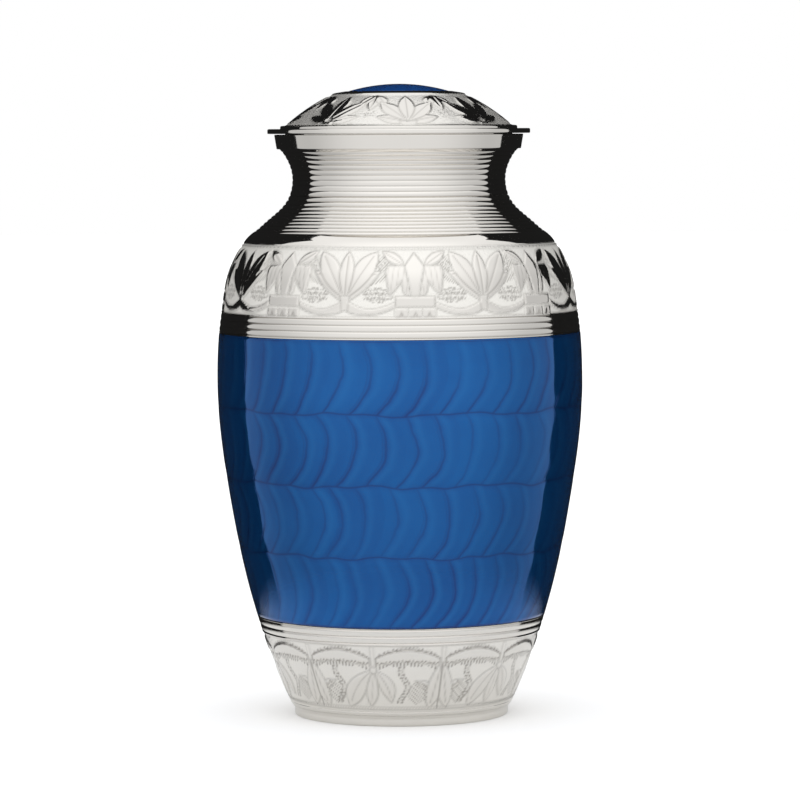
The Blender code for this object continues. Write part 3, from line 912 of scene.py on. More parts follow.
@dataclass(frozen=True)
class NickelPlate:
    """Nickel plate on spun brass: turned and buffed bright, with a matted, punched ground between the leaves.

    It gives the eye a warm white mirror that shows the room's light and dark, broken by soft frosted ground.
    Its cuts, graver lines and punched dots are darkened towards grey with painted shade.
    Each of the fields that end in gloss is a roughness, and pitches are in millimetres.
    """

    polished: str = "EBE8E3"
    matted: str = "EDEBE6"
    recess_shade: str = "6F6A63"
    cut_shade_share: float = 0.72
    gloss: float = 0.045
    ring_gloss: float = 0.03
    cloud_gloss: float = 0.05
    ground_gloss: float = 0.36
    least_gloss: float = 0.03
    scatter: float = 0.45
    clouds_per_metre: float = 38.0
    turning_pitch: float = 0.9
    turning_height: float = 0.0035
    dot_pitch: float = 0.95
    dot_taper: float = 1.9
    dot_shade: float = 0.55
    dot_depth: float = 0.16
    graver_lines: float = 520.0
    graver_slant: float = 0.8
    graver_shade: float = 0.12
    graver_height: float = 0.06
    bare_grain: float = 0.6

    def build(self) -> bpy.types.Material:
        """Builds the material.

        Returns:
            The material, which reads the attributes polish, cut and grain and the UV map wrap.
        """
        made, node = bare_material("nickel_plated_spun_brass")
        polish, cut, grain = (node("ShaderNodeAttribute", {"attribute_name": name}).outputs["Fac"]
                              for name in ("polish", "cut", "grain"))
        place = node("ShaderNodeTexCoord").outputs["Object"]
        # Buffing leaves soft clouds about 26 mm wide, and the tool leaves rings about 0.2 mm apart; the rings
        # are drawn 0.9 mm apart, because ones that fine would not show
        cloud = node(NOISE, Vector=place, Scale=self.clouds_per_metre, Detail=3.0, Roughness=0.55)
        high = node(MATH, MULTIPLY, node(SPLIT, None, place).outputs[2], 1.0 / (self.turning_pitch * MM))
        rings = node(NOISE, {"noise_dimensions": "1D"}, W=high, Scale=1.0, Detail=2.0)
        # Punched dots about a millimetre apart, and graver lines over the ground
        dots = node("ShaderNodeTexVoronoi", Vector=place, Scale=1.0 / (self.dot_pitch * MM))
        dot = node(MATH, SCALE_ADD | HELD, dots, -self.dot_taper, 1.0)
        turn, along, _ = node(SPLIT, None, node("ShaderNodeUVMap", {"uv_map": "wrap"})).outputs
        slant = node(MATH, SCALE_ADD, turn, self.graver_lines, node(MATH, MULTIPLY, along, self.graver_slant))
        ground = node(MATH, SUBTRACT | HELD, 1.0, polish)
        hatch = node(MATH, MULTIPLY, node(MATH, PINGPONG, slant, 0.5), ground)

        tone = node(MIX, COLOURS, polish, linear(self.matted), linear(self.polished))
        # Painted shade in the ground's punched dots and graver lines
        grained = node(MATH, MULTIPLY, grain, node(MATH, MULTIPLY, ground, self.dot_shade))
        punched = node(MATH, MULTIPLY, dot, grained)
        mark_shade = node(MATH, SCALE_ADD, hatch, self.graver_shade, punched)
        # Painted shade in the cuts, dots and graver lines turns the metal's colour towards dark grey
        dark = node(MATH, MAXIMUM | HELD, node(MATH, MULTIPLY, cut, self.cut_shade_share), mark_shade)
        tone = node(MIX, COLOURS, dark, tone, linear(self.recess_shade))

        rough = node(MATH, SCALE_ADD, rings, self.ring_gloss, self.gloss)
        rough = node(MATH, SCALE_ADD, node(MATH, SUBTRACT, cloud, 0.5), self.cloud_gloss, rough)
        rough = node(MATH, SCALE_ADD, ground, self.ground_gloss, rough)
        rough = node(MATH, MAXIMUM, rough, self.least_gloss)

        grained = node(MATH, MULTIPLY, node(MATH, ADD, grain, self.bare_grain), ground)
        sunk = node(MATH, MULTIPLY, dot, grained)
        height = node(MATH, SCALE_ADD, sunk, -self.dot_depth, node(MATH, MULTIPLY, hatch, self.graver_height))
        height = node(MATH, SCALE_ADD, rings, self.turning_height, height)
        bump = node("ShaderNodeBump", Strength=1.0, Distance=MM, Height=height)
        metal = node(MATH, SCALE_ADD, ground, -self.scatter, 1.0)
        shader = node("ShaderNodeBsdfPrincipled", Base_Color=tone, Metallic=metal, Roughness=rough,
                      Normal=bump)
        node("ShaderNodeOutputMaterial", Surface=shader)
        return made


@dataclass(frozen=True)
class Brushwork:
    """How the enamel's strokes lie: arcs in rows, measured in strokes round the piece and rows up it."""

    strokes: int = 40
    rows: int = 4
    bow: float = 0.57
    top_bow: float = 0.41
    lean: float = 0.37
    top_lean: float = 0.54
    step: float = 0.37


@dataclass(frozen=True)
class FiredEnamel:
    """Translucent blue enamel brushed over bright metal in curved strokes and fired.

    It gives the eye a deep glossy blue that lights up where the metal below faces the light, and sinks to
    navy where it doesn't, with the brush's strokes as darker arcs.
    """

    name: str = "fired_blue_enamel"
    body: str = "105FA5"
    deep: str = "0B3A80"
    line: str = "1C2A68"
    light: str = "2A7CC0"
    metal_share: float = 0.85
    brush: Brushwork = Brushwork()
    wander: float = 0.05
    jitter: float = 0.38
    offset: float = 0.3
    soft_dark: float = 0.45
    line_dark: float = 0.75
    pale_share: float = 0.40
    gloss: float = 0.045
    glaze: float = 0.28
    glaze_gloss: float = 0.02

    def build(self) -> bpy.types.Material:
        """Builds the material.

        Returns:
            The material, which reads the UV map strokes: strokes round the piece, and rows up it.
        """
        made, node = bare_material(self.name)
        brush = self.brush
        place = node("ShaderNodeTexCoord").outputs["Object"]
        across, up, _ = node(SPLIT, None, node("ShaderNodeUVMap", {"uv_map": "strokes"})).outputs
        # Noise per metre, detail and roughness: rows wander over 11 mm, arcs swell over 33, strokes shake
        # over 18, the glaze clouds over 38 with specks of 4, and the brush runs dry over patches of 62
        wander, swell, shake, clouds, specks, dry = (
            node(NOISE, Vector=place, Scale=scale, Detail=detail, Roughness=rough) for scale, detail, rough in
            ((90.0, 2.0, 0.5), (30.0, 1.0, 0.5), (55.0, 3.0, 0.6), (26.0, 4.0, 0.6), (240.0, 3.0, 0.5),
             (16.0, 1.0, 0.5)))
        up = node(MATH, SCALE_ADD, node(MATH, SUBTRACT, wander, 0.5), self.wander, up)
        row = node(MATH, FLOOR, up)
        rise = node(MATH, SUBTRACT, node(MATH, ADD, row, 1.0), up)
        top_row = node(MATH, ABOVE, row, brush.rows - 1.5)
        arc = node(MATH, MULTIPLY, node(MATH, MULTIPLY, rise, node(MATH, SUBTRACT, 1.0, rise)), 4.0)
        reach = node(MATH, SCALE_ADD, top_row, brush.top_bow - brush.bow, brush.bow)
        swollen = node(MATH, SCALE_ADD, swell, 1.1, 0.45)
        bulge = node(MATH, MULTIPLY, node(MATH, MULTIPLY, arc, reach), swollen)
        lean = node(MATH, SCALE_ADD, top_row, brush.lean - brush.top_lean, -brush.lean)
        shift = node(MATH, SCALE_ADD, rise, lean, bulge)
        shaken = node(MATH, MULTIPLY, node(MATH, SUBTRACT, shake, 0.5), self.jitter)
        stepped = node(MATH, SCALE_ADD, row, brush.step, shaken)
        stroke = node(MATH, ADD, node(MATH, SUBTRACT, across, shift), stepped)
        number = node(MATH, FLOOR, stroke)
        cell = node(JOIN, None, node(MATH, MODULO, number, float(brush.strokes)), row)
        tint = node("ShaderNodeTexWhiteNoise", {"noise_dimensions": "2D"}, Vector=cell).outputs["Value"]
        share = node(MATH, SCALE_ADD, tint, self.offset, node(MATH, SUBTRACT, stroke, number))
        share = node(MATH, FRACTION, share)

        # Each stroke: a soft dark trail with a crisp line on it, a second line, a paler streak, plain blue
        edge = node(MATH, SIZE, node(MATH, SUBTRACT, share, 0.5))
        fade = node(MATH, SCALE_ADD, rise, 0.55, node(MATH, MULTIPLY, clouds, 0.75))
        trail, crisp, second, pale = (
            node(MATH, SCALE_ADD | HELD, node(MATH, SIZE, node(MATH, SUBTRACT, of, middle)), -narrow, 1.0)
            for of, middle, narrow in ((edge, 0.0, 6.0), (edge, 0.02, 34.0), (share, 0.38, 36.0),
                                       (share, 0.75, 4.5)))
        strength = node(MATH, SCALE_ADD, tint, 0.75, 0.45)
        trail = node(MATH, MULTIPLY | HELD, node(MATH, MULTIPLY, trail, fade), strength)
        second = node(MATH, MULTIPLY, second, node(MATH, ABOVE, tint, 0.4))
        lines = node(MATH, MAXIMUM, node(MATH, MULTIPLY, crisp, 0.9), node(MATH, MULTIPLY, second, 0.5))
        laid = node(RANGE, None, dry, 0.38, 0.56, 0.30, 1.0)
        trail = node(MATH, MULTIPLY, trail, laid)
        lines = node(MATH, MULTIPLY | HELD, node(MATH, MULTIPLY, lines, laid), fade)
        ends = node(MATH, PINGPONG, rise, 0.5)
        row_line, row_soft = (node(MATH, SCALE_ADD | HELD, ends, -narrow, 1.0) for narrow in (55.0, 14.0))
        lines = node(MATH, MAXIMUM, lines, node(MATH, MULTIPLY, row_line, 0.8))
        soft = node(MATH, MAXIMUM, trail, node(MATH, MULTIPLY, row_soft, 0.4))
        pale = node(MATH, MULTIPLY, pale, node(MATH, MULTIPLY, clouds, self.pale_share))

        tone = linear(self.body)
        clouded = node(MATH, MULTIPLY | HELD, node(MATH, SUBTRACT, clouds, 0.35), 0.8)
        for laid_on, thickness, colour in (
                (clouded, 1.0, self.deep), (tint, 0.22, self.deep), (pale, 1.0, self.light),
                (soft, self.soft_dark, self.line), (lines, self.line_dark, self.line), (specks, 0.10, self.deep)):
            tone = node(MIX, COLOURS, node(MATH, MULTIPLY, laid_on, thickness), tone, linear(colour))

        height = node(MATH, SCALE_ADD, clouds, 0.10, node(MATH, MULTIPLY, lines, -0.02))
        bump = node("ShaderNodeBump", Strength=1.0, Distance=MM, Height=height)
        rough = node(MATH, SCALE_ADD, specks, 0.04, self.gloss)
        shader = node("ShaderNodeBsdfPrincipled", Base_Color=tone, Metallic=self.metal_share, Roughness=rough,
                      Normal=bump, Coat_Weight=self.glaze, Coat_Roughness=self.glaze_gloss)
        node("ShaderNodeOutputMaterial", Surface=shader)
        return made


@dataclass
class Side:
    """Line of the vessel's side, from the foot's top to the neck's top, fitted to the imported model's coat."""

    foot_height: float = 0.0030
    foot_edge: float = 0.0008
    foot_top_radius: float = 0.0453
    base_stretches: tuple = ((0.0184, 0.05325), (0.0190, 0.0596))
    lower_belly_share: float = 0.4845
    lower_belly_radius: float = 0.0702
    shoulder_stretches: tuple = ((0.0285, 0.0737), (0.0195, 0.0695), (0.0095, 0.0641), (0.0075, 0.0560),
                                 (0.0080, 0.0473), (0.0095, 0.0440), (0.0120, 0.0481))
    enamel_above_belly: float = 0.0206
    base_band_start: float = 0.0026
    base_band_height: float = 0.0284
    crown_beads_height: float = 0.0083
    shoulder_band_height: float = 0.0286
    neck_plain_height: float = 0.0044

    def __post_init__(self) -> None:
        """Builds the line and the heights of what is cut into it."""
        low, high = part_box("enamel_band")
        self.enamel_low, self.enamel_high = low.z - GAP, high.z + GAP
        self.belly_radius = high.x
        self.start = self.foot_height + self.foot_edge
        belly_height = self.enamel_high - self.enamel_above_belly
        rise = belly_height - self.enamel_low
        height, stations = self.start, [(self.start, self.foot_top_radius)]
        stretches = [*self.base_stretches, (self.lower_belly_share * rise, self.lower_belly_radius),
                     ((1 - self.lower_belly_share) * rise, self.belly_radius), *self.shoulder_stretches]
        for step, radius in stretches:
            height += step
            stations.append((height, radius))
        self.curve = Curve(stations)
        self.top = height
        self.base_low = self.start + self.base_band_start
        self.base_high = self.base_low + self.base_band_height
        self.shoulder_low = self.enamel_high + self.crown_beads_height
        self.shoulder_high = self.shoulder_low + self.shoulder_band_height
        self.rings_low = self.shoulder_high + self.neck_plain_height


# Place on a bead, and on a ring of the neck, from its foot up, and how much painted shade its row gets
BEAD = {0.0: 0.36, 0.05: 0.12, 0.18: 0.0, 0.5: 0.0, 0.82: 0.0, 0.95: 0.12}
RING = {0.0: 0.28, 0.16: 0.0, 0.5: 0.0, 0.84: 0.0}


@dataclass
class Vessel:
    """The spun vessel: foot, engraved base, recess under the enamel, engraved shoulder, ringed neck, collar."""

    side: Side
    turner: Turner
    coarse: int = 160
    base_segments: int = 480
    shoulder_segments: int = 800
    base_rows: int = 45
    shoulder_rows: int = 48
    depth: float = 0.0004
    ring_depth: float = 0.0005
    fine_ring_depth: float = 0.00025
    strip_roll: float = 0.0003
    rings: int = 19
    deep_rings: int = 10
    foot_radius: float = 0.0443
    rim: float = 0.0060
    collar_height: float = 0.0060
    collar_step: float = 0.0012
    collar_foot_radius: float = 0.0504
    collar_top_radius: float = 0.0514
    mouth_radius: float = 0.0473
    floor: float = 0.0018
    sunk: float = 0.0004
    base_stems: int = 12
    base_turn: float = -0.30
    base_dots: int = 240
    shoulder_groups: int = 8
    shoulder_dots: int = 320
    # Scale of the painted shade in every cut and groove of the vessel
    line_dark: float = 0.8
    base_ground_polish: float = 0.7
    border: float = 0.75
    # Painted shade of the line beside each band's border
    border_line: float = 0.5

    def outlines(self) -> list[Outline]:
        """Draws the half section.

        Returns:
            Its runs: underside and foot, base band, belly, shoulder band, then the neck and all that follows.
        """
        side, curve, depth = self.side, self.side.curve, self.depth
        foot = Outline(self.coarse)
        inner = self.foot_radius - self.rim
        foot.add(rounded([(0.0, self.sunk, 0.0), (inner / 2, self.sunk, 0.0),
                          (inner - 0.0005, self.sunk, HAIR), (inner, 0.0, HAIR), (self.foot_radius, 0.0, 0.0006),
                          (self.foot_radius, side.foot_height, 0.0003),
                          (side.foot_top_radius - 0.0004, side.start, 0.0)]))
        foot.add_beads(curve, side.start + depth, side.base_low - depth, 1, depth, BEAD)
        foot.add([curve.inset(side.base_low - 3 * HAIR), curve.inset(side.base_low - HAIR)])
        base = Outline(self.base_segments)
        heights = curve.spaced(side.base_low, side.base_high, self.base_rows)
        base.add([curve.inset(z) for z in heights], Zone.BASE_BAND)
        belly = Outline(self.coarse)
        belly.add([curve.inset(side.base_high + HAIR)])
        belly.add_beads(curve, side.base_high + depth, side.enamel_low - depth, 2, depth, BEAD)
        belly.add([curve.inset(side.enamel_low - 1.5 * HAIR), curve.inset(side.enamel_low)])
        heights = curve.spaced(side.enamel_low, side.enamel_high, 12)
        belly.add([(curve.at(z) - ENAMEL_THICKNESS - GAP, z) for z in heights])
        belly.add([curve.inset(side.enamel_high), curve.inset(side.enamel_high + 1.5 * HAIR)])
        belly.add_beads(curve, side.enamel_high + depth, side.shoulder_low - depth, 3, depth, BEAD)
        belly.add([curve.inset(side.shoulder_low - HAIR)])
        shoulder = Outline(self.shoulder_segments)
        heights = curve.spaced(side.shoulder_low, side.shoulder_high, self.shoulder_rows)
        shoulder.add([curve.inset(z) for z in heights], Zone.SHOULDER_BAND)
        return [foot, base, belly, shoulder, self.neck()]

    def neck(self) -> Outline:
        """Draws the last run.

        Returns:
            The plain strip under the rings, rolled out a little, the rings, the collar and the inside.
        """
        side, curve = self.side, self.side.curve
        neck = Outline(self.coarse)
        for share in (0.02, 0.12, 0.25, 0.4, 0.55, 0.7, 0.85, 0.97):
            roll = self.strip_roll * 4 * share * (1 - share)
            neck.add([curve.inset(side.shoulder_high + side.neck_plain_height * share, -roll)])
        change = curve.spaced(side.rings_low, side.top, self.rings)[self.deep_rings]
        neck.add_beads(curve, side.rings_low, change, self.deep_rings, self.ring_depth, RING)
        fine = self.rings - self.deep_rings
        neck.add_beads(curve, change + HAIR, side.top, fine, self.fine_ring_depth, RING)
        low = side.top + self.collar_step
        mouth = low + self.collar_height
        neck.add(rounded([(*curve.inset(side.top + HAIR), 0.0), (self.collar_foot_radius - 0.0012, low, HAIR),
                          (self.collar_foot_radius, low, 0.0004), (self.collar_top_radius, mouth, 0.0005),
                          (self.mouth_radius, mouth, 0.0004), (self.mouth_radius, low, 0.0)]))
        neck.add(self.inside())
        return neck

    def inside(self) -> list[tuple[float, float]]:
        """Draws the inside wall.

        Returns:
            Its points, from under the collar down to the floor's centre.
        """
        side, curve = self.side, self.side.curve
        recess_wall = WALL + ENAMEL_THICKNESS + GAP
        top = [curve.inset(z, WALL) for z in curve.spaced(side.top - WALL, side.enamel_high + recess_wall, 14)]
        belly = [curve.inset(z, recess_wall) for z in curve.spaced(side.enamel_high, side.enamel_low, 10)]
        base = [curve.inset(z, WALL) for z in curve.spaced(side.enamel_low - recess_wall, side.start, 5)]
        corner, bend = base[-1][0], 0.0006
        floor = [(corner, self.floor + bend), (corner - bend, self.floor), (0.0, self.floor)]
        return top + belly + base[:-1] + floor

    def engrave(self, turned: Turned) -> None:
        """Cuts both bands.

        Args:
            turned: the turned vessel.
        """
        # Scales the painted shade in every cut and groove
        turned.fields["cut"] *= self.line_dark
        chosen, angle, radius, t = turned.place_in(Zone.SHOULDER_BAND)
        work = Engraving(len(chosen))
        groups = self.shoulder_groups
        carve_lotus(work, to_nearest(angle, groups, math.pi / groups) * radius, t)
        carve_lily(work, to_nearest(angle, groups, 0.0) * radius, t)
        dots = to_nearest(angle, self.shoulder_dots, 0.0) * radius
        work.add_form(np.hypot(dots, t - (t.max() - 1.4)) - 0.45, bevel=0.5, line=0.35)
        turned.press(chosen, t, work, self.depth, 0.0, self.border, self.border_line)

        chosen, angle, radius, t = turned.place_in(Zone.BASE_BAND)
        work = Engraving(len(chosen))
        pairs = self.base_stems // 2
        spread = math.pi / self.base_stems
        carve_stem(work, to_nearest(angle, self.base_stems, self.base_turn) * radius, t, spread * radius)
        carve_petals(work, to_nearest(angle, pairs, self.base_turn) * radius, t)
        carve_bud(work, to_nearest(angle, pairs, self.base_turn + math.pi / pairs) * radius, t)
        dots = to_nearest(angle, self.base_dots, 0.0) * radius
        work.add_form(np.hypot(dots, t - 1.3) - 0.4, bevel=0.5, line=0.35)
        turned.press(chosen, t, work, self.depth, self.base_ground_polish, self.border, self.border_line)

    def build(self, finish: bpy.types.Material) -> bpy.types.Object:
        """Builds the vessel.

        Args:
            finish: its material.

        Returns:
            The dressed piece.
        """
        turned = self.turner.weld("vessel", self.outlines(), finish)
        self.engrave(turned)
        piece = turned.finish(turned.fields, "wrap", turned.length_wrap())
        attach(piece, ROOT)
        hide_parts("urn_body")
        return piece


@dataclass
class EnamelCoat:
    """The fired enamel round the belly, laid on in rows of curved strokes; dips are in millimetres."""

    side: Side
    turner: Turner
    brush: Brushwork = Brushwork()
    segments: int = 480
    inside_segments: int = 160
    rows: int = 116
    edge: float = 0.0005
    stroke_dip: float = 0.035
    row_dip: float = 0.09
    wander_reach: float = 0.03

    def outlines(self) -> list[Outline]:
        """Draws the section.

        Returns:
            The outside from foot to top with rounded edges, then the inside down again.
        """
        low, high, curve = self.side.enamel_low + GAP, self.side.enamel_high - GAP, self.side.curve
        start, end, corner = curve.at(low), curve.at(high), 1.5 * HAIR
        outside = Outline(self.segments)
        outside.add([(start - ENAMEL_THICKNESS, low), (start - self.edge, low),
                     (start - corner, low + corner)])
        heights = curve.spaced(low + self.edge, high - self.edge, self.rows)
        outside.add([curve.inset(z) for z in heights], Zone.COAT)
        outside.add([(end - corner, high - corner), (end - self.edge, high), (end - ENAMEL_THICKNESS, high)])
        inside = Outline(self.inside_segments)
        heights = curve.spaced(high - self.edge, low + self.edge, 12)
        inside.add([(curve.at(z) - ENAMEL_THICKNESS, z) for z in heights])
        return [outside, inside]

    def lay_strokes(self, turned: Turned) -> float:
        """Sinks the surface a little along the strokes and between their rows.

        Args:
            turned: the turned coat.

        Returns:
            The coat's length from foot to top, in millimetres.
        """
        brush = self.brush
        chosen, angle, _, t = turned.place_in(Zone.COAT)
        length = t.max()
        up = self.wander(angle, t / length * brush.rows)
        row = np.clip(np.floor(up), 0, brush.rows - 1)
        rise = row + 1 - up
        top = row == brush.rows - 1
        shift = 4 * rise * (1 - rise) * np.where(top, brush.top_bow, brush.bow)
        shift -= rise * np.where(top, brush.top_lean, brush.lean)
        stroke = (angle % math.tau) / math.tau * brush.strokes - shift + brush.step * row
        dip = 0.5 + 0.5 * np.cos(math.tau * stroke)
        near_row = np.exp(-((np.abs(rise - 0.5) - 0.5) * length / brush.rows / 2.6) ** 2)
        lift = -(self.stroke_dip * dip * (1 - near_row) + self.row_dip * near_row)
        turned.push(chosen, lift * smooth(np.minimum(t, length - t), 0.5, 4.0))
        return length

    def wander(self, angle: np.ndarray, up: np.ndarray) -> np.ndarray:
        """Lets the lines between rows of strokes rise and fall by about a millimetre.

        Args:
            angle: angle round the axis.
            up: place up the coat, in rows.

        Returns:
            The place with the wander in it.
        """
        inner = np.clip(np.minimum(up, self.brush.rows - up), 0.0, 1.0)
        wave = 0.6 * np.sin(9 * angle + 1.3 * np.round(up)) + 0.4 * np.sin(23 * angle + 2.1)
        return up + self.wander_reach * wave * inner

    def build(self, finish: bpy.types.Material) -> bpy.types.Object:
        """Builds the coat.

        Args:
            finish: its material.

        Returns:
            The dressed piece.
        """
        turned = self.turner.weld("enamel_coat", self.outlines(), finish, closed=True)
        length = self.lay_strokes(turned)
        wrap = turned.length_wrap()
        in_coat = turned.zone_of_row[turned.row_of_corner()] == Zone.COAT
        height = np.where(in_coat, wrap[:, 1] / length * self.brush.rows, 0.02)
        wrap[:, 1] = self.wander(wrap[:, 0] * math.tau, height)
        wrap[:, 0] *= self.brush.strokes
        piece = turned.finish({}, "strokes", wrap)
        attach(piece, ROOT)
        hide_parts("enamel_band")
        return piece


@dataclass
class Lid:
    """The lift-off lid: locating ring, flange, bead, engraved dome and polished ring round the cap's seat."""

    turner: Turner
    coarse: int = 160
    dome_segments: int = 480
    dome_rows: int = 38
    wall: float = 0.0013
    depth: float = 0.0004
    flange_radius: float = 0.0542
    flange_thickness: float = 0.0020
    bead_radius: float = 0.0489
    bead_height: float = 0.0014
    dome_foot_radius: float = 0.0468
    dome_top_radius: float = 0.0272
    dome_rise: float = 0.0144
    dome_bulge: float = 0.0008
    ring_rise: float = 0.0009
    spigot_radius: float = 0.0469
    spigot_length: float = 0.0045
    spigot_wall: float = 0.0012
    cap_radius: float = 0.0211
    cap_thickness: float = 0.0010
    cap_rise: float = 0.0031
    groups: int = 8
    ground_polish: float = 0.42
    border: float = 0.8

    def __post_init__(self) -> None:
        """Finds the lid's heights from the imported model."""
        low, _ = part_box("lid")
        self.base = low.z + self.spigot_length
        self.flange_top = self.base + self.flange_thickness
        self.dome_low = self.flange_top + self.bead_height
        self.dome_high = self.flange_top + self.dome_rise
        self.cap_edge = self.dome_high + self.ring_rise
        self.cap_sphere = (self.cap_radius ** 2 + self.cap_rise ** 2) / (2 * self.cap_rise)

    def dome_point(self, share: float, depth: float = 0.0) -> tuple[float, float]:
        """Finds a point of the dome.

        Args:
            share: 0 at its foot and 1 at its top.
            depth: how far inside it.

        Returns:
            The point as (radius, height).
        """
        run, rise = self.dome_top_radius - self.dome_foot_radius, self.dome_high - self.dome_low
        length = math.hypot(run, rise)
        out = 4 * self.dome_bulge * share * (1 - share) - depth
        return (self.dome_foot_radius + run * share + out * rise / length,
                self.dome_low + rise * share - out * run / length)

    def cap_height(self, radius: float, depth: float = 0.0) -> float:
        """Finds the height of the cap's sphere.

        Args:
            radius: distance from the axis.
            depth: how far below its surface.

        Returns:
            The height there.
        """
        drop = math.sqrt((self.cap_sphere - depth) ** 2 - radius ** 2)
        return self.cap_edge + self.cap_rise - self.cap_sphere + drop

    def outlines(self) -> list[Outline]:
        """Draws the half section.

        Returns:
            Its runs: ceiling, locating ring and flange; dome; polished ring and the cap's seat.
        """
        seat_depth, seat_radius = self.cap_thickness + GAP, self.cap_radius + GAP
        seat_floor = [(r, self.cap_height(r, seat_depth)) for r in (seat_radius, seat_radius / 2, 0.0)]
        inner, low = self.spigot_radius - self.spigot_wall, self.base - self.spigot_length
        under = Outline(self.coarse)
        ceiling = (0.0, 0.007, 0.014, seat_radius - self.wall)
        under.add([(r, self.cap_height(r, seat_depth + self.wall)) for r in ceiling])
        under.add([self.dome_point(s, self.wall + self.depth) for s in (0.97, 0.75, 0.5, 0.3, 0.1)])
        under.add(rounded([(inner, self.flange_top, 0.0), (inner, low, 0.0003),
                           (self.spigot_radius, low, 0.0003), (self.spigot_radius, self.base, HAIR),
                           (self.flange_radius, self.base, 0.0005), (self.flange_radius, self.flange_top, 0.0007),
                           (self.bead_radius, self.flange_top, HAIR),
                           (self.bead_radius, self.dome_low - 2 * HAIR, 0.0006),
                           (self.dome_foot_radius, self.dome_low, 0.0)]))
        dome = Outline(self.dome_segments)
        shares = np.linspace(0.005, 1.0, self.dome_rows + 1)
        dome.add([self.dome_point(s) for s in shares], Zone.DOME_BAND)
        top = Outline(self.coarse)
        top.add(rounded([(*self.dome_point(1.0), 0.0),
                         (self.dome_top_radius - 0.0010, self.dome_high + 3 * HAIR, 0.0004),
                         (seat_radius + 0.0004, self.cap_edge + HAIR, 0.0003),
                         (seat_radius, self.cap_edge - 2 * HAIR, HAIR), (*seat_floor[0], HAIR),
                         (*seat_floor[1], 0.0), (*seat_floor[2], 0.0)])[1:])
        return [under, dome, top]

    def build(self, finish: bpy.types.Material) -> bpy.types.Object:
        """Builds the lid.

        Args:
            finish: its material.

        Returns:
            The dressed piece.
        """
        turned = self.turner.weld("lid_shell", self.outlines(), finish)
        chosen, angle, radius, t = turned.place_in(Zone.DOME_BAND)
        work = Engraving(len(chosen))
        carve_dome_sprig(work, to_nearest(angle, self.groups, math.pi / self.groups) * radius, t)
        carve_dome_flower(work, to_nearest(angle, self.groups, 0.0) * radius, t)
        turned.press(chosen, t, work, self.depth, self.ground_polish, self.border)
        piece = turned.finish(turned.fields, "wrap", turned.length_wrap())
        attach(piece, ROOT)
        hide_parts("lid")
        return piece


@dataclass
class EnamelCap:
    """The small domed enamel cap let into the top of the lid."""

    lid: Lid
    turner: Turner
    segments: int = 160
    edge: float = 0.0002
    strokes: int = 10
    stroke_start: float = 0.15
    stroke_reach: float = 0.7

    def build(self, finish: bpy.types.Material) -> bpy.types.Object:
        """Builds the cap.

        Args:
            finish: its material.

        Returns:
            The dressed piece.
        """
        lid, thickness = self.lid, self.lid.cap_thickness
        under = [(share * lid.cap_radius, thickness) for share in (0.0, 0.3, 0.6, 0.85, 0.985)]
        over = [(share * lid.cap_radius, 0.0) for share in (0.985, 0.965, 0.93, *np.linspace(0.88, 0.0, 24))]
        outline = Outline(self.segments)
        outline.add([(r, lid.cap_height(r, depth)) for r, depth in under])
        outline.add([(lid.cap_radius, lid.cap_height(lid.cap_radius, thickness) + self.edge),
                     (lid.cap_radius, lid.cap_edge - self.edge)])
        outline.add([(r, lid.cap_height(r, depth)) for r, depth in over])
        turned = self.turner.weld("enamel_cap", [outline], finish)
        wrap = turned.wrap.copy()
        wrap[:, 1] = self.stroke_start + self.stroke_reach * wrap[:, 1] / wrap[:, 1].max()
        wrap[:, 0] *= self.strokes
        piece = turned.finish({}, "strokes", wrap)
        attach(piece, ROOT)
        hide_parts("lid_enamel")
        return piece


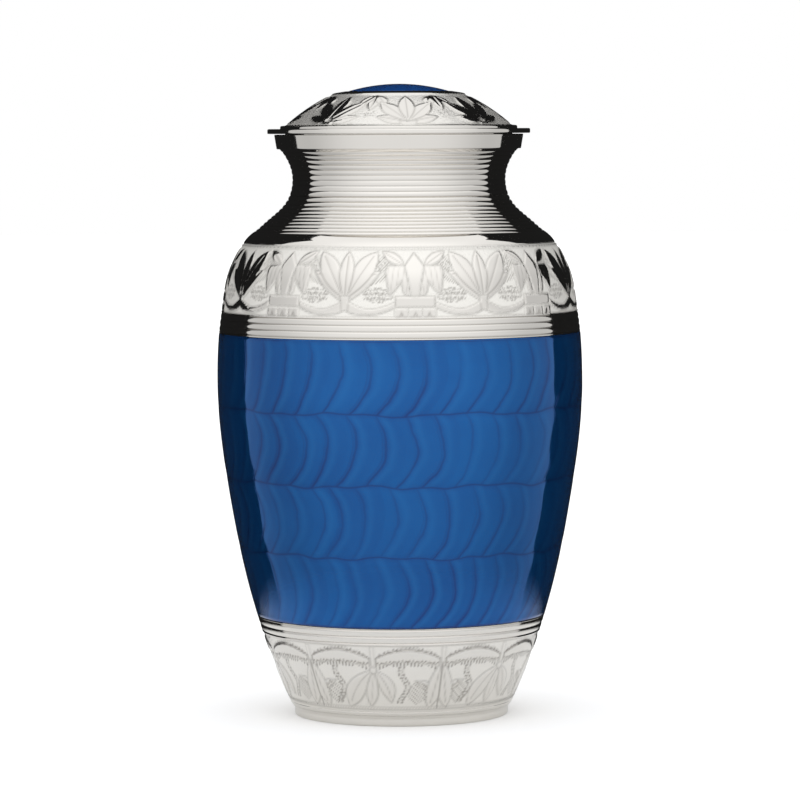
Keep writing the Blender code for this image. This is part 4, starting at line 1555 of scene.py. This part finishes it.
@dataclass
class Studio:
    """A white sweep lit by soft even light, a bright tent for the metal to mirror and a black card behind."""

    azimuth: float = -5.0
    distance: float = 1.7598
    height: float = 0.24265
    aim: float = 0.1300
    lens: float = 191.6
    roll: float = -0.275
    card_radius: float = 0.60
    card_half_angle: float = 72.0
    card_low: float = -0.60
    card_high: float = 1.03
    tent_radius: float = 2.4
    near_floor: float = 0.22
    far_floor: float = 8.0
    shade_start: float = 0.09
    shade_end: float = 0.19
    fade_start: float = 0.12
    board: str = "FAFAFA"
    # Painted shade of the floor as the metal mirrors it, greyer towards the disc's edge
    mirrored_floor_shade: str = "E0E0DF"
    mirrored_edge_shade: str = "C8C8C8"
    flock: str = "1D1D1D"
    tent_height: float = 3.2
    tent_sides: float = 0.62
    tent_front: float = 0.96
    tent_above: float = 0.40
    tent_below: float = -0.16
    room: str = "FFFFFF"
    room_seen: float = 1.0
    room_light: float = 1.36
    sensor: float = 36.0
    steps: int = 96

    def build_camera(self) -> bpy.types.Object:
        """Stands the camera where the photograph was taken from.

        Returns:
            The camera.
        """
        data = bpy.data.cameras.new("camera")
        data.lens, data.sensor_width = self.lens, self.sensor
        data.clip_start, data.clip_end = 0.05, 50.0
        camera = bpy.data.objects.new("camera", data)
        bpy.context.scene.collection.objects.link(camera)
        a = math.radians(self.azimuth)
        place = Vector((math.sin(a) * self.distance, -math.cos(a) * self.distance, self.height))
        turn = (Vector((0.0, 0.0, self.aim)) - place).to_track_quat("-Z", "Y").to_matrix().to_4x4()
        roll = Matrix.Rotation(math.radians(self.roll), 4, "Z")
        camera.matrix_world = Matrix.Translation(place) @ turn @ roll
        bpy.context.scene.camera = camera
        bpy.context.view_layer.update()
        return camera

    def build_floor(self) -> None:
        """Lays a plain pale floor: a near disc that the metal mirrors, and the rest, which it doesn't."""
        # Matt white board gives the eye an even near-white with no gloss. What the metal mirrors of it is painted
        # shade: a grey copy of the board, greyer towards the disc's edge, which fades out there
        made, node = bare_material("matt_white_board")
        mirrored = node("ShaderNodeLightPath").outputs["Is Glossy Ray"]
        place = node("ShaderNodeTexCoord").outputs["Object"]
        reach = node("ShaderNodeVectorMath", {"operation": "LENGTH"}, place)
        away = node(RANGE, None, reach, self.shade_start, self.shade_end, 0.0, 1.0)
        edge = node(RANGE, EASED, reach, self.fade_start, self.near_floor, 0.0, 1.0)
        # Painted shade: the floor that the metal mirrors is a grey copy of the board
        mirrored_shade = node(MIX, COLOURS, away, linear(self.mirrored_floor_shade), linear(self.mirrored_edge_shade))
        tone = node(MIX, COLOURS, mirrored, linear(self.board), mirrored_shade)
        board = node("ShaderNodeBsdfDiffuse", Color=tone)
        fade = node(MATH, MULTIPLY, edge, mirrored)
        faded = node("ShaderNodeMixShader", None, fade, board, node("ShaderNodeBsdfTransparent"))
        node("ShaderNodeOutputMaterial", Surface=faded)
        steps = 64
        angles = [math.tau * i / steps for i in range(steps)]
        ring = [(math.cos(a) * self.near_floor, math.sin(a) * self.near_floor, 0.0) for a in angles]
        rim = [(math.cos(a) * self.far_floor, math.sin(a) * self.far_floor, 0.0) for a in angles]
        around = [(i, i + steps, (i + 1) % steps + steps, (i + 1) % steps) for i in range(steps)]
        for name, points, faces in (("near_floor", ring, [tuple(range(steps))]),
                                    ("far_floor", ring + rim, around)):
            mesh = bpy.data.meshes.new(name)
            mesh.from_pydata(points, [], faces)
            mesh.materials.append(made)
            floor = bpy.data.objects.new(name, mesh)
            bpy.context.scene.collection.objects.link(floor)
            floor.visible_glossy = name == "near_floor"

    def build_reflected(self, camera: bpy.types.Object) -> None:
        """Hangs the tent and the card, which only the glossy surfaces see; both turn with the camera.

        Args:
            camera: the camera that they are fixed to.
        """
        turn = Matrix.Rotation(math.radians(self.azimuth), 4, "Z")
        tent = self.shell("tent", self.tent_radius, math.pi, -self.tent_height, self.tent_height, self.glow())
        card = self.shell("card", self.card_radius, math.radians(self.card_half_angle), self.card_low,
                          self.card_high, self.black())
        for item in (tent, card):
            item.matrix_world = turn
            bpy.context.view_layer.update()
            item.parent = camera
            item.matrix_parent_inverse = camera.matrix_world.inverted()
            item.visible_camera = item.visible_diffuse = item.visible_shadow = False
            item.visible_transmission = item.visible_volume_scatter = False

    def shell(self, name: str, radius: float, half_angle: float, low: float, high: float,
              finish: bpy.types.Material) -> bpy.types.Object:
        """Makes an upright part-cylinder behind the urn, open at its ends.

        Args:
            name: name of the object.
            radius: radius about the urn's axis.
            half_angle: how far it reaches to each side of straight behind, in radians.
            low: height of its lower edge.
            high: height of its upper edge.
            finish: its material.

        Returns:
            The object.
        """
        steps = self.steps
        angles = [math.pi / 2 + half_angle * (2 * i / steps - 1) for i in range(steps + 1)]
        points = [(radius * math.cos(a), radius * math.sin(a), z) for z in (low, high) for a in angles]
        faces = [(i, i + 1, i + steps + 2, i + steps + 1) for i in range(steps)]
        if half_angle >= math.pi:
            points.append((0.0, 0.0, high))
            faces += [(i + steps + 1, i + steps + 2, len(points) - 1) for i in range(steps)]
        mesh = bpy.data.meshes.new(name)
        mesh.from_pydata(points, [], faces)
        mesh.materials.append(finish)
        item = bpy.data.objects.new(name, mesh)
        bpy.context.scene.collection.objects.link(item)
        return item

    def glow(self) -> bpy.types.Material:
        """Builds the tent's light, which gives the metal its bright front and darker sides.

        Returns:
            The material, brightest at the front and overhead.
        """
        made, node = bare_material("tent_light")
        made.cycles.emission_sampling = "NONE"
        place = node("ShaderNodeTexCoord").outputs["Object"]
        way = node("ShaderNodeVectorMath", {"operation": "NORMALIZE"}, place)
        _, depth, height = node(SPLIT, None, way).outputs
        front = node(RANGE, EASED, depth, 0.15, -0.98, self.tent_sides, self.tent_front)
        above = node(RANGE, EASED, height, 0.30, 0.95, 0.0, self.tent_above)
        below = node(RANGE, None, height, 0.0, -0.4, 0.0, self.tent_below)
        strength = node(MATH, ADD, node(MATH, ADD, front, above), below)
        node("ShaderNodeOutputMaterial", Surface=node(EMIT, Strength=strength))
        return made

    def black(self) -> bpy.types.Material:
        """Builds black flock, which gives back almost nothing and draws the metal's dark edges.

        Returns:
            The material.
        """
        made, node = bare_material("black_flock")
        made.cycles.emission_sampling = "NONE"
        node("ShaderNodeOutputMaterial", Surface=node(EMIT, Color=linear(self.flock), Strength=1.0))
        return made

    def build_world(self) -> None:
        """Fills the room with even white light."""
        world = bpy.data.worlds.new("white_room")
        world.use_nodes = True
        world.node_tree.nodes.clear()
        node = partial(add_node, world.node_tree)
        seen = node("ShaderNodeLightPath").outputs["Is Camera Ray"]
        strength = node(MIX, {"data_type": "FLOAT"}, seen, self.room_light, self.room_seen)
        light = node("ShaderNodeBackground", Color=linear(self.room), Strength=strength)
        node("ShaderNodeOutputWorld", Surface=light)
        world.cycles.sampling_method = "NONE"
        bpy.context.scene.world = world

    def build(self) -> None:
        """Builds the camera, the floor and the light."""
        scene = bpy.context.scene
        scene.view_settings.view_transform = "Standard"
        camera = self.build_camera()
        self.build_floor()
        self.build_reflected(camera)
        self.build_world()


def main() -> None:
    """Builds the studio, then each piece in order."""
    logging.basicConfig(level=logging.INFO, format="%(message)s")
    Studio().build()
    turner, side = Turner(), Side()
    metal = NickelPlate().build()
    enamel = FiredEnamel().build()
    # The cap is a denser enamel than the coat, so less of the metal shows through it
    cap_enamel = FiredEnamel("fired_blue_enamel_cap", body="12488C", deep="0C3470", light="1C58A0",
                             metal_share=0.25)
    lid = Lid(turner)
    builders = ((Vessel(side, turner), metal), (EnamelCoat(side, turner), enamel), (lid, metal),
                (EnamelCap(lid, turner), cap_enamel.build()))
    for builder, finish in builders:
        piece = builder.build(finish)
        triangles = sum(len(face.vertices) - 2 for face in piece.data.polygons)
        log.info("%s: %d triangles", piece.name, triangles)


if __name__ == "__main__":
    main()
